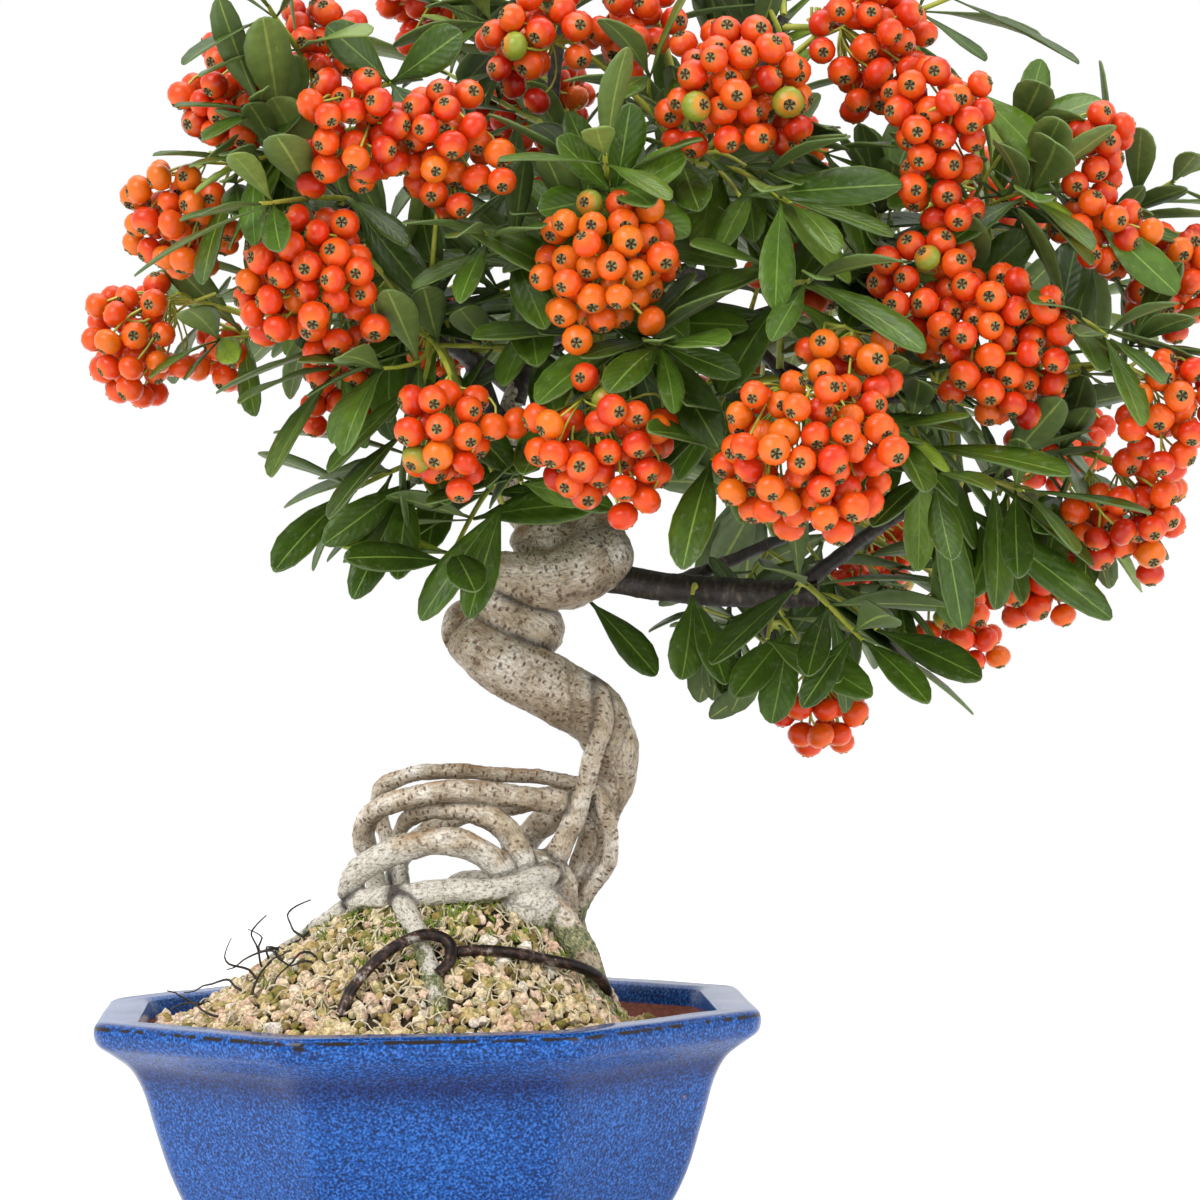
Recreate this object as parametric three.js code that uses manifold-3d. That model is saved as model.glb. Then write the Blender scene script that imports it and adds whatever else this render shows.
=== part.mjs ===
// A pyracantha bonsai: a twisted, bare-rooted trunk on a mound of soil in an octagonal glazed pot,
// with a crown of leafy shoots and bunches of orange berries. Millimetres, +Z up.
// Places are given from the middle of the pot's foot. At the end the whole tree is moved so that the
// origin is the middle of its box, on the surface that the pot stands on.
import Module from 'manifold-3d';
import * as THREE from 'three';
import { mergeVertices } from 'three/addons/utils/BufferGeometryUtils.js';

const wasm = await Module();
wasm.setup();

// Driving sizes
const gap = 0.3; // between pieces that touch
const rimAcrossFlats = 160;
const potHeight = 66;
const lipWidth = 11;
const wallThickness = 6;
const footHeight = 6;
const footInset = { outer: 36, inner: 43 }; // from the rim
const footGap = { width: 30, height: 3.5, length: 30 };
const drainHoleRadius = 7;
const cornerRounding = 0.12; // of the half width
const mound = { x: 5, y: 0, top: 91, level: 61, plateau: 22 };
const moundReach = { left: 68, right: 46, front: 66, back: 60 };
const grain = { around: 24, rows: 7, relief: 2.4, shift: 0.06, turn: 0.5 };
const sides = { coil: 7, root: 5, branch: 4, wire: 4 };
const rootStepsPerSpan = 0.8;
const wireStepsPerSpan = 1.2;
const wireRadius = 1.4;
const berryRadius = 3.7;
const hubShare = 0.6; // of the lump of berries that it bears
const berriesPerRadius = 0.3;
const stalkRoom = 0.75; // cosine of the angle round a stalk that has no berries
const stalkRadius = 0.9;
const shootRadius = 1.2;
const leafLength = { least: 27, most: 44 };
const leafWidthShare = 0.3;
const leafThickness = 1.1;
const whorls = { first: 0.34, last: 0.94, apart: 10, least: 4 }; // along a shoot, with three leaves each
const whorlHalf = 0.9; // half the length of stem that bears a whorl
const attemptsPerLeaf = 10;
const crownMiddle = new THREE.Vector3(60, 0, 240);

const point = (x, y, z) => new THREE.Vector3(x, y, z);
const upward = point(0, 0, 1);
const third = (2 * Math.PI) / 3;

// A seeded stream of even random numbers from 0 to 1.
function seeded(seed) {
  let state = Math.imul(seed + 1, 0x9e3779b1) >>> 0;
  return () => {
    state = (state + 0x6d2b79f5) >>> 0;
    let mixed = Math.imul(state ^ (state >>> 15), state | 1);
    mixed ^= mixed + Math.imul(mixed ^ (mixed >>> 7), mixed | 61);
    return ((mixed ^ (mixed >>> 14)) >>> 0) / 4294967296;
  };
}

// Solids
function solid(geometry) {
  geometry.deleteAttribute('normal');
  geometry.deleteAttribute('uv');
  const merged = mergeVertices(geometry, 1e-4);
  const vertProperties = Float32Array.from(merged.getAttribute('position').array);
  const triVerts = Uint32Array.from(merged.index.array);
  return new wasm.Manifold(new wasm.Mesh({ numProp: 3, vertProperties, triVerts }));
}

function geometryFrom(positions, faces) {
  const geometry = new THREE.BufferGeometry();
  geometry.setAttribute('position', new THREE.Float32BufferAttribute(positions, 3));
  geometry.setIndex(faces);
  return geometry;
}

function geometryOf(body) {
  const mesh = body.getMesh();
  return geometryFrom(Array.from(mesh.vertProperties), Array.from(mesh.triVerts));
}

const joined = (bodies) => bodies.reduce((whole, body) => whole.add(body));
const larger = (one, other) => (one.volume() > other.volume() ? one : other);
const largestBody = (body) => body.decompose().reduce(larger);

// The surface through rings of points, each ring with as many points as the next. It is closed by
// a flat cap at each end, or by joining the last ring to the first.
function loft(rings, looped = false) {
  const count = rings[0].length;
  const faces = [];
  const spans = looped ? rings.length : rings.length - 1;
  for (let r = 0; r < spans; r++) {
    const low = r * count;
    const high = ((r + 1) % rings.length) * count;
    for (let i = 0; i < count; i++) {
      const j = (i + 1) % count;
      faces.push(low + i, low + j, high + j, low + i, high + j, high + i);
    }
  }
  if (!looped) {
    const last = (rings.length - 1) * count;
    for (let i = 1; i < count - 1; i++) faces.push(0, i + 1, i, last, last + i, last + i + 1);
  }
  return solid(geometryFrom(rings.flat().flatMap((p) => [p.x, p.y, p.z]), faces));
}

// A round limb through stations [x, y, z, radius], cut square at both ends.
function limb(stations, sideCount, steps, swell = 0) {
  const curve = new THREE.CatmullRomCurve3(stations.map(([x, y, z]) => point(x, y, z)), false, 'centripetal');
  const radiusAt = (t) => {
    const place = t * (stations.length - 1);
    const i = Math.min(Math.floor(place), stations.length - 2);
    return THREE.MathUtils.lerp(stations[i][3], stations[i + 1][3], place - i) + swell;
  };
  let across = Math.abs(curve.getTangent(0).z) < 0.9 ? point(0, 0, 1) : point(1, 0, 0);
  return loft(Array.from({ length: steps + 1 }, (_, step) => {
    const t = step / steps;
    const along = curve.getTangent(t);
    across = across.clone().addScaledVector(along, -across.dot(along)).normalize();
    const side = along.clone().cross(across);
    return Array.from({ length: sideCount }, (_, k) => {
      const angle = (2 * Math.PI * k) / sideCount;
      return curve.getPoint(t)
        .addScaledVector(across, radiusAt(t) * Math.cos(angle))
        .addScaledVector(side, radiusAt(t) * Math.sin(angle));
    });
  }));
}

function knob([x, y, z], [rx, ry, rz], swell) {
  const ball = new THREE.IcosahedronGeometry(1, 1);
  return solid(ball.scale(rx + swell, ry + swell, rz + swell).translate(x, y, z));
}

// Pot: an octagon with rounded corners, widest at its lip, with a cove under the lip
const cornerTurn = Math.PI / 4;
const pointsPerCorner = 2;
const rimHalf = rimAcrossFlats / 2;
const baseDepth = potHeight - footHeight;
const floorTop = footHeight + wallThickness;
const floorDepth = potHeight - floorTop;

function octagon(half, z) {
  const rounding = half * cornerRounding;
  const centreReach = (half - rounding) / Math.cos(cornerTurn / 2);
  const ring = [];
  for (let corner = 0; corner < 8; corner++) {
    const middle = (corner + 0.5) * cornerTurn;
    for (let k = 0; k < pointsPerCorner; k++) {
      const angle = middle + cornerTurn * (k / (pointsPerCorner - 1) - 0.5);
      ring.push(point(
        centreReach * Math.cos(middle) + rounding * Math.cos(angle),
        centreReach * Math.sin(middle) + rounding * Math.sin(angle),
        z,
      ));
    }
  }
  return ring;
}

// Each profile is a list of [inset from the rim's flat, depth below the rim].
const footProfile = [[44.5, baseDepth + 0.8], [footInset.inner, potHeight], [footInset.outer, potHeight]];
const outsideProfile = [
  [34, baseDepth], [23.6, 50], [18, 39.5], [14, 27], [11, 16.5], [8.2, 11.5], [3.9, 8], [0.6, 5.5], [0, 2.2],
];
const lipProfile = [[1.6, 0], [lipWidth - 1.8, 0], [lipWidth - 0.9, 1.6]];
const insideProfile = [[lipWidth, 5], [lipWidth + 6.5, 9], [23, 35], [31, floorDepth]];

function pot() {
  const profile = [...footProfile, ...outsideProfile, ...lipProfile, ...insideProfile];
  const rings = profile.map(([inset, depth]) => octagon(rimHalf - inset, potHeight - depth));
  const hole = [octagon(drainHoleRadius, footHeight), octagon(drainHoleRadius, floorTop)];
  let body = loft([hole[0], ...rings, hole[1]], true);
  const footMiddle = rimHalf - (footInset.outer + footInset.inner) / 2;
  for (let side = 0; side < 4; side++) { // low gaps in the foot let the water out
    const cut = new THREE.BoxGeometry(footGap.width, footGap.length, 2 * footGap.height);
    body = body.subtract(solid(cut.translate(0, footMiddle, 0).rotateZ((side * Math.PI) / 2)));
  }
  return body;
}

// Soil: a grainy mound that fills the pot
function moundHeight(x, y) {
  const dx = x - mound.x;
  const dy = y - mound.y;
  const distance = Math.hypot(dx, dy) || 1e-6;
  const reachX = dx > 0 ? moundReach.right : moundReach.left;
  const reachY = dy > 0 ? moundReach.back : moundReach.front;
  const reach = Math.hypot((dx / distance) * reachX, (dy / distance) * reachY);
  const fall = THREE.MathUtils.clamp((distance - mound.plateau) / (reach - mound.plateau), 0, 1);
  const crest = 1 - Math.min(distance / mound.plateau, 1) ** 2;
  return mound.level + (mound.top - mound.level) * (1 - fall) ** 1.1 + 2 * crest;
}

// Points of a convex ring, spaced evenly by angle as seen from the middle.
function evenly(ring, count) {
  return Array.from({ length: count }, (_, k) => {
    const angle = (2 * Math.PI * k) / count;
    const ray = point(Math.cos(angle), Math.sin(angle), 0);
    const reaches = ring.map((a, i) => {
      const b = ring[(i + 1) % ring.length];
      const normal = point(b.y - a.y, a.x - b.x, 0);
      return normal.dot(ray) > 1e-6 ? (normal.x * a.x + normal.y * a.y) / normal.dot(ray) : Infinity;
    });
    return ray.multiplyScalar(Math.min(...reaches)).setZ(ring[0].z);
  });
}

// The surface is raised and sunk at random, as by grains larger than life.
function soil() {
  const random = seeded(7);
  const wallGap = gap + 0.1; // the soil's corners don't all fall on the pot's
  const wall = ([inset, depth], lift = 0) => (
    evenly(octagon(rimHalf - inset - wallGap, potHeight - depth + lift), grain.around)
  );
  const [, shoulder, waist, base] = insideProfile;
  const edge = wall(shoulder, shoulder[1] + mound.level - 2 - potHeight);
  const rings = [wall(base, wallGap), wall(waist), wall(shoulder), edge];
  for (let row = 0; row < grain.rows; row++) {
    rings.push(edge.map((corner) => {
      if (row === 0) return corner.clone().setZ(mound.level - 1);
      const share = 1 - row / grain.rows + (random() - 0.5) * grain.shift;
      const turn = ((random() - 0.5) * 2 * Math.PI * grain.turn) / grain.around;
      const flat = corner.clone().setZ(0).multiplyScalar(share).applyAxisAngle(upward, turn);
      return flat.setZ(moundHeight(flat.x, flat.y) + (random() - 0.35) * 2 * grain.relief);
    }));
  }
  return loft(rings);
}

// Wood: the trunk folds over itself in two coils and stands on a cage of bare roots
const coils = {
  base: [
    [34, 1, 79, 4.2], [37, 3, 91, 4], [42, 2, 104, 4.4], [44, 1, 113, 4.8], [47, 0, 121, 5.6],
    [46, -3, 130, 7], [42, -5, 137, 8], [34, -7, 142, 8.3], [25, -8, 147, 8.2], [16, -7, 152, 7.4],
    [11, -3, 157, 6.2],
  ],
  back: [[11, -2, 156, 6], [12, 5, 160, 6], [20, 9, 161, 6.4], [28, 6, 159, 6.8], [29, 0, 158, 6.6]],
  middle: [[30, 1, 157, 6.4], [27, -4, 158, 6.8], [21, -5, 162, 6.3], [15, -4, 167, 6]],
  upper: [[14, -3, 169, 5.6], [19, -5, 171, 6.4], [28, -7, 170, 7.2], [37, -7, 171, 8], [44, -5, 175, 8.1]],
  turn: [
    [44, -2, 177, 8], [43, 4, 183, 6.8], [36, 7, 186, 5.6], [28, 5, 185, 4.6], [23, 3, 190, 3.8],
    [21, 1, 199, 3.2], [22, 1, 210, 2.9], [26, 2, 222, 2.5],
  ],
};
const knobs = { root: [[25, -14, 90], [7, 5.5, 5]], bulge: [[44, -3, 176], [8.6, 8.4, 8.6]] };
const roots = {
  strap: [
    [41, -9, 150, 2.2], [44, -13, 143, 2.5], [44, -13, 135, 2.5], [41, -11, 126, 2.5], [39, -9, 118, 2.5],
    [36, -8, 110, 2.7], [33, -8, 104, 3.1], [29, -8, 97, 3.5], [27, -8, 90, 3.4],
  ],
  thin: [
    [40, -4, 121, 1.8], [44, -6, 114, 2], [46, -6, 106, 2.1], [45, -4, 100, 2.1], [41, -2, 94, 2],
    [36, -1, 86, 2],
  ],
  behind: [[42, 2, 118, 3.6], [33, 7, 112, 3.7], [26, 9, 106, 3.6], [22, 7, 98, 3.4], [20, 5, 90, 3.4]],
  hoopTop: [
    [43, 0, 118, 2.6], [30, 3, 121, 2.1], [19, 6, 122, 2], [7, 8, 123, 2], [-4, 10, 122, 2.1],
    [-10, 13, 119, 2.3], [-11, 15, 112, 2.3], [-8, 13, 103, 2.2], [-5, 9, 91, 2.2],
  ],
  hoopFront: [
    [38, -5, 115, 3.2], [29, -9, 116, 3.2], [18, -11, 118, 2.8], [6, -11, 119, 2.7], [-5, -9, 117, 2.8],
    [-12, -3, 114, 2.8], [-15, 4, 108, 2.8], [-13, 6, 100, 2.7], [-11, 4, 89, 2.7],
  ],
  hoopLow: [
    [-5, 2, 91, 1.9], [-6, 1, 103, 1.8], [-6, -1, 109, 1.9], [-2, -5, 113, 2.3], [6, -8, 114, 2.4],
    [14, -11, 113, 2.9], [20, -12, 109, 3.4], [23, -13, 102, 3.4], [25, -12, 94, 3.2],
  ],
  arch: [
    [-19, -7, 93, 3], [-17, -11, 99, 3.3], [-11, -14, 103, 3.5], [-3, -16, 106, 3.5], [5, -17, 107, 3.5],
    [12, -17, 105, 3.5], [18, -16, 100, 3.4], [21, -15, 92, 3.2],
  ],
  ledge: [
    [-18, -8, 92, 3], [-13, -14, 93, 3], [-5, -19, 94, 3.1], [4, -21, 95, 3.1], [13, -21, 95, 3.1],
    [20, -19, 96, 2.5], [27, -16, 98, 2.2], [31, -12, 98, 2.4],
  ],
  knee: [[24, -7, 101, 3], [29, -9, 100, 3.8], [33, -8, 96, 3.8], [34, -6, 89, 3.4], [33, -5, 83, 3.2]],
  buttress: [[28, -11, 92, 4], [33, -15, 87, 4], [38, -19, 79, 3.8], [41, -21, 71, 3.3], [43, -23, 62, 3]],
  runner: [
    [-7, -18, 94, 2.6], [-5, -24, 89, 2.5], [-2, -31, 83, 2.4], [0, -40, 75, 2.3], [2, -49, 67, 2.2],
    [2, -54, 62, 2],
  ],
  rearHoop: [
    [42, 3, 115, 2.8], [33, 13, 116, 2.7], [24, 19, 114, 2.7], [12, 21, 112, 2.7], [2, 19, 108, 2.8],
    [-6, 15, 101, 2.8], [-9, 12, 89, 2.8],
  ],
  rearButtress: [[34, 2, 92, 3.6], [36, 9, 87, 3.6], [38, 17, 79, 3.4], [39, 24, 70, 3], [40, 29, 60, 2.8]],
  rearRunner: [
    [19, 6, 95, 3.2], [9, 15, 94, 3.1], [4, 23, 88, 2.9], [0, 32, 81, 2.7], [-3, 41, 73, 2.5],
    [-5, 48, 63, 2.3],
  ],
  leftRunner: [[-15, -4, 92, 3], [-22, -2, 88, 2.8], [-30, 2, 82, 2.5], [-38, 6, 76, 2.3], [-46, 8, 68, 2]],
};
const branches = {
  left: [
    [21, 1, 203, 2.9], [15, -5, 220, 2.4], [8, -10, 234, 2.1], [-4, -18, 248, 1.9], [-18, -23, 262, 1.6],
    [-30, -27, 274, 1.3],
  ],
  leftLow: [[22, 0, 210, 2.2], [5, 0, 219, 1.7], [-12, 5, 227, 1.5], [-31, 10, 232, 1.2]],
  up: [
    [24, 1, 214, 2.7], [28, 2, 230, 2.4], [32, 2, 252, 2.1], [34, 0, 274, 1.8], [35, -2, 296, 1.5],
    [38, -3, 312, 1.2],
  ],
  upRight: [
    [24, 2, 217, 2.7], [38, 4, 232, 2.3], [56, 5, 249, 2.1], [71, 4, 269, 1.8], [84, 1, 291, 1.6],
    [92, 0, 309, 1.3],
  ],
  right: [
    [37, 4, 230, 2.2], [55, -3, 227, 2.1], [74, -10, 231, 1.9], [96, -16, 238, 1.7], [118, -19, 244, 1.5],
    [138, -21, 249, 1.3], [154, -20, 253, 1.2],
  ],
  lowRight: [
    [40, 0, 172, 3.8], [54, -3, 169, 3.8], [68, -8, 167, 3.8], [83, -11, 166, 3.7], [97, -14, 166, 3.5],
  ],
  lowTip: [
    [92, -12, 167, 2.3], [101, -16, 174, 1.9], [112, -20, 182, 1.7], [123, -25, 188, 1.5],
    [138, -28, 193, 1.4], [153, -29, 199, 1.2],
  ],
  lowStub: [[83, -10, 165, 1.9], [85, -9, 157, 1.6], [87, -8, 151, 1.4]],
  rightMid: [
    [70, -8, 230, 1.8], [87, -25, 221, 1.7], [105, -36, 213, 1.5], [126, -41, 213, 1.4], [146, -43, 217, 1.2],
  ],
  rear: [[26, 3, 225, 2.1], [32, 22, 239, 1.9], [42, 38, 253, 1.7], [56, 50, 262, 1.4]],
  rearLeft: [[24, 1, 217, 2.1], [6, 20, 234, 1.6], [-3, 34, 248, 1.4], [-12, 44, 258, 1.2]],
  rearRight: [[55, 6, 248, 1.9], [78, 26, 246, 1.7], [100, 40, 243, 1.5], [120, 48, 243, 1.3]],
  rearLow: [[60, -5, 168, 2.1], [72, 12, 172, 1.8], [88, 30, 178, 1.5], [104, 40, 184, 1.2]],
  front: [[28, 1, 229, 2], [37, -20, 230, 1.7], [43, -38, 234, 1.4]],
  frontUp: [[58, 4, 251, 1.8], [62, -18, 262, 1.5], [67, -36, 269, 1.2]],
  frontRight: [[76, -11, 231, 1.8], [84, -33, 222, 1.5], [88, -52, 213, 1.3]],
  frontLeft: [[13, -7, 224, 2], [8, -26, 226, 1.5], [2, -42, 228, 1.2]],
};

function woodPieces(swell = 0) {
  const spans = (path) => path.length - 1;
  const rootSteps = (path) => Math.round(spans(path) * rootStepsPerSpan);
  return [
    ...Object.values(coils).map((path) => limb(path, sides.coil, path.length, swell)),
    ...Object.values(roots).map((path) => limb(path, sides.root, rootSteps(path), swell)),
    ...Object.values(branches).map((path) => limb(path, sides.branch, spans(path), swell)),
    ...Object.values(knobs).map(([place, reach]) => knob(place, reach, swell)),
  ];
}

// Tie wire: one length is hooked over the other, and both go down into the soil
const wirePaths = {
  hooked: [
    [-21, -48, 68], [-19, -46, 73], [-14, -42, 79], [-7, -39, 84], [0, -37, 86], [5, -38, 84], [5, -41, 80],
    [2, -43, 77],
  ],
  crossing: [
    [4, -38, 81.5], [12, -37, 82], [21, -36, 81], [29, -34, 79], [36, -30, 77], [42, -25, 73], [44, -20, 66],
  ],
};

function tieWire(swell = 0) {
  return joined(Object.values(wirePaths).map((path) => {
    const steps = Math.round((path.length - 1) * wireStepsPerSpan);
    return limb(path.map((place) => [...place, wireRadius]), sides.wire, steps, swell);
  }));
}

// What is already in place, so that a new piece can be bent clear of it.
const placed = [];
function boxesMeet(a, b) {
  return [0, 1, 2].every((axis) => a.min[axis] < b.max[axis] && b.min[axis] < a.max[axis]);
}
const noVolume = 1e-4;
function cross(body, box, other) {
  return boxesMeet(box, other.box) && body.intersect(other.body).volume() > noVolume;
}
function isClear(body) {
  const box = body.boundingBox();
  return placed.every((other) => !cross(body, box, other));
}
const withBox = (body) => ({ body, box: body.boundingBox() });

// A growing mesh: new parts are grafted on, each in place of a triangle that is already there.
function seedling([a, b, c]) {
  return { points: [a, b, c], faces: [[0, 2, 1], [0, 1, 2]], used: new Set() };
}
function grownSolid({ points, faces, used }) {
  const left = faces.filter((_, i) => !used.has(i)).flat();
  return solid(geometryFrom(points.flatMap((p) => [p.x, p.y, p.z]), left));
}
function middleOf(growth, face) {
  return growth.faces[face].reduce((sum, i) => sum.add(growth.points[i]), point(0, 0, 0)).divideScalar(3);
}
// The face among some whose middle, seen from a point, lies nearest to a direction.
function facing(growth, faces, from, way) {
  const nearness = (face) => middleOf(growth, face).sub(from).normalize().dot(way);
  return faces.reduce((best, face) => (nearness(face) > nearness(best) ? face : best));
}

// How a ring of three is turned to lie nearest to the ring that it joins, and how far off it is.
function leastTwist(from, ring) {
  const turned = [0, 1, 2].map((turn) => {
    const order = [0, 1, 2].map((k) => (k + turn) % 3);
    return { order, cost: from.reduce((sum, p, k) => sum + p.distanceTo(ring[order[k]]), 0) };
  });
  return turned.reduce((best, other) => (other.cost < best.cost ? other : best));
}

// The skin between two rings. Each of its quads is folded outward, so that no two of them cross.
function band(growth, before, now) {
  for (let k = 0; k < 3; k++) {
    const next = (k + 1) % 3;
    const [a, b, c, d] = [before[k], before[next], now[next], now[k]];
    const [side, far, up] = [b, c, d].map((i) => growth.points[i].clone().sub(growth.points[a]));
    const isOutward = side.cross(far).dot(up) < 0;
    growth.faces.push(...(isOutward ? [[a, b, c], [a, c, d]] : [[a, b, d], [b, c, d]]));
  }
}

// Rings of three points in place of a face, closed by a tip or by a face whose number is returned.
function graft(growth, face, rings, tip = null) {
  growth.used.add(face);
  let before = growth.faces[face];
  for (const ring of rings) {
    const { order } = leastTwist(before.map((i) => growth.points[i]), ring);
    const now = order.map((k) => growth.points.push(ring[k]) - 1);
    band(growth, before, now);
    before = now;
  }
  if (!tip) return growth.faces.push(before) - 1;
  const end = growth.points.push(tip) - 1;
  for (let k = 0; k < 3; k++) growth.faces.push([before[k], before[(k + 1) % 3], end]);
  return end;
}

const looseBall = new THREE.IcosahedronGeometry(1, 0).deleteAttribute('normal').deleteAttribute('uv');
const ball = mergeVertices(looseBall, 1e-4);
const ballPoints = Array.from({ length: 12 }, (_, i) => (
  new THREE.Vector3().fromBufferAttribute(ball.getAttribute('position'), i)
));
const ballFaces = Array.from({ length: 20 }, (_, i) => [0, 1, 2].map((k) => ball.index.getX(3 * i + k)));
const ballMouth = ballFaces[0];
const mouthWay = ballMouth.reduce((sum, i) => sum.add(ballPoints[i]), point(0, 0, 0)).normalize();
const rollsTried = 12;

// A twenty-sided ball in place of a face, joined to it by a short neck. Returns the ball's faces.
function bud(growth, face, centre, radius) {
  const corners = growth.faces[face].map((i) => growth.points[i]);
  const back = middleOf(growth, face).sub(centre).normalize();
  const aim = new THREE.Quaternion().setFromUnitVectors(mouthWay, back);
  const [i, j, l] = ballMouth;
  const rolls = Array.from({ length: rollsTried }, (_, k) => {
    const roll = new THREE.Quaternion().setFromAxisAngle(back, (2 * Math.PI * k) / rollsTried).multiply(aim);
    const points = ballPoints.map((p) => p.clone().applyQuaternion(roll).multiplyScalar(radius).add(centre));
    const { order, cost } = leastTwist(corners, [i, l, j].map((m) => points[m]));
    return { points, mouth: order.map((m) => [i, l, j][m]), cost };
  });
  const { points, mouth } = rolls.reduce((best, other) => (other.cost < best.cost - 1e-9 ? other : best));
  growth.used.add(face);
  const first = growth.points.length;
  growth.points.push(...points);
  band(growth, growth.faces[face], mouth.map((m) => first + m));
  return ballFaces.slice(1).map((corner) => growth.faces.push(corner.map((m) => first + m)) - 1);
}

// Three points round a stem. With a turn of 0 the first side of the stem faces up.
function stemRing(curve, t, radius, turn = 0) {
  const centre = curve.getPoint(t);
  const { u, v } = acrossStem(curve.getTangent(t));
  return [0, 1, 2].map((k) => {
    const angle = turn + (k - 0.5) * third;
    return centre.clone()
      .addScaledVector(u, radius * Math.cos(angle))
      .addScaledVector(v, radius * Math.sin(angle));
  });
}
function acrossStem(along) {
  const u = upward.clone().addScaledVector(along, -along.z).normalize();
  return { u, v: along.clone().cross(u) };
}

// Places along the wood that can bear a stem, from the second station of each path to its end.
const placesPerSpan = 8;
function barkPlaces(path) {
  const count = (path.length - 2) * placesPerSpan + 1;
  return Array.from({ length: count }, (_, n) => {
    const place = 1 + n / placesPerSpan;
    const i = Math.min(Math.floor(place), path.length - 2);
    const station = path[i].map((value, axis) => THREE.MathUtils.lerp(value, path[i + 1][axis], place - i));
    return { centre: point(...station), radius: station[3] };
  });
}
const bark = [coils.turn, ...Object.values(branches)].flatMap(barkPlaces);

// A point just off the bark of the wood nearest to a target, on the side that faces it.
function barkBeside(target, stemRadius) {
  const { centre, radius } = bark.reduce((best, place) => (
    place.centre.distanceTo(target) < best.centre.distanceTo(target) ? place : best
  ));
  return centre.clone().addScaledVector(target.clone().sub(centre).normalize(), radius + stemRadius + gap);
}

// Ways to bow a stem of some reach, from the plainest on.
const bowSides = [
  upward, point(1, 0, 0), point(-1, 0, 0), point(0, -1, 0), point(0, 1, 0), point(0, 0, -1),
];
const bowShares = [0.15, 0.3, 0.45, 0.6];
function bows(reach) {
  const wide = bowShares.flatMap((share) => (
    bowSides.map((side) => side.clone().multiplyScalar(reach * share))
  ));
  return [point(0, 0, reach * 0.1), ...wide];
}
function plainestClear(reach, grow) {
  const clear = bows(reach).find((bow) => isClear(grow(bow)));
  if (!clear) throw new Error(`no clear way over ${reach.toFixed(0)} mm`);
  return clear;
}

// Bunches of berries: one or two lumps [x, y, z, radius] on a stalk from the nearest branch
const bunches = {
  '01': [[-42, -43, 286, 13.7], [-21, -34, 299, 11.9]],
  '02': [[-15, -74, 273, 13.3], [7, -71, 269, 14.3]],
  '03': [[-54, -27, 260, 14.9]],
  '04': [[-66, 4, 231, 15.3], [-46, 13, 228, 9]],
  '05': [[-23, -64, 238, 18]],
  '06': [[5, -75, 206, 12.8]],
  '07': [[43, -83, 240, 16.4]],
  '08': [[40, -87, 201, 15.9]],
  '09': [[29, -52, 296, 13.6], [52, -43, 301, 11.4]],
  10: [[72, -69, 281, 17.1]],
  11: [[104, -51, 296, 16.5]],
  12: [[121, -69, 275, 13], [119, -67, 260, 9.5]],
  13: [[84, -105, 198, 19.6], [96, -96, 218, 10.4]],
  14: [[117, -67, 235, 14], [132, -73, 223, 17.1]],
  15: [[159, -49, 270, 10.4], [162, -54, 249, 11.3]],
  16: [[181, -36, 241, 13.5]],
  17: [[172, -70, 208, 13]],
  18: [[167, -50, 185, 14.2]],
  19: [[148, -24, 175, 15.5]],
  20: [[137, 32, 159, 12.3]],
  21: [[101, 14, 138, 11.1]],
  22: [[166, 46, 207, 13.5]],
  23: [[119, 58, 178, 12.6]],
  24: [[-26, 54, 274, 15.9]],
  25: [[36, 66, 290, 16.7]],
  26: [[94, 74, 282, 16.9]],
  27: [[148, 58, 266, 16.6]],
  28: [[6, 66, 232, 15.5]],
  29: [[82, 66, 214, 16.2]],
  30: [[46, -13, 330, 14.7]],
  31: [[97, 24, 337, 15.2]],
  32: [[6, 34, 322, 14.5]],
};

// Directions spread evenly over a ball.
function evenWays(count) {
  return Array.from({ length: count }, (_, i) => {
    const z = 1 - (2 * (i + 0.5)) / count;
    const turn = i * Math.PI * (3 - Math.sqrt(5));
    return point(Math.sqrt(1 - z * z) * Math.cos(turn), Math.sqrt(1 - z * z) * Math.sin(turn), z);
  });
}
// The hub stays short of the near sides of its berries.
const hubRadius = (radius) => Math.min(radius * hubShare, (radius - 2 * berryRadius) / 0.8);

function growBerries(growth, hubFaces, [x, y, z, radius], keptFree, swell) {
  const middle = point(x, y, z);
  for (const way of evenWays(Math.round(radius * berriesPerRadius) + 1)) {
    const face = facing(growth, hubFaces, middle, way);
    const out = middleOf(growth, face).sub(middle).normalize();
    if (growth.used.has(face) || keptFree.some((other) => out.dot(other) > stalkRoom)) continue;
    bud(growth, face, middle.clone().addScaledVector(out, radius - berryRadius), berryRadius + swell);
  }
}

function growBunch(lumps, bow, swell = 0) {
  const [first, second] = lumps;
  const hub = point(...first);
  const start = barkBeside(hub, stalkRadius);
  const path = new THREE.QuadraticBezierCurve3(start, start.clone().lerp(hub, 0.5).add(bow), hub);
  const stalkRing = (t) => stemRing(path, t, (stalkRadius + swell) * (1.3 - 0.3 * t));
  const [foot, ...rest] = [0, 0.4, 0.75].map(stalkRing);
  const growth = seedling(foot);
  const hubFaces = bud(growth, graft(growth, 1, rest), hub, hubRadius(first[3]) + swell);
  const keptFree = [path.getPoint(0.75).sub(hub).normalize()];
  if (second) {
    const hub2 = point(...second);
    const way = hub2.clone().sub(hub).normalize();
    const link = facing(growth, hubFaces, hub, way);
    const hubFaces2 = bud(growth, link, hub2, hubRadius(second[3]) + swell);
    growBerries(growth, hubFaces2, second, [way.clone().negate()], swell);
    keptFree.push(way);
  }
  growBerries(growth, hubFaces, first, keptFree, swell);
  return grownSolid(growth);
}

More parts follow.
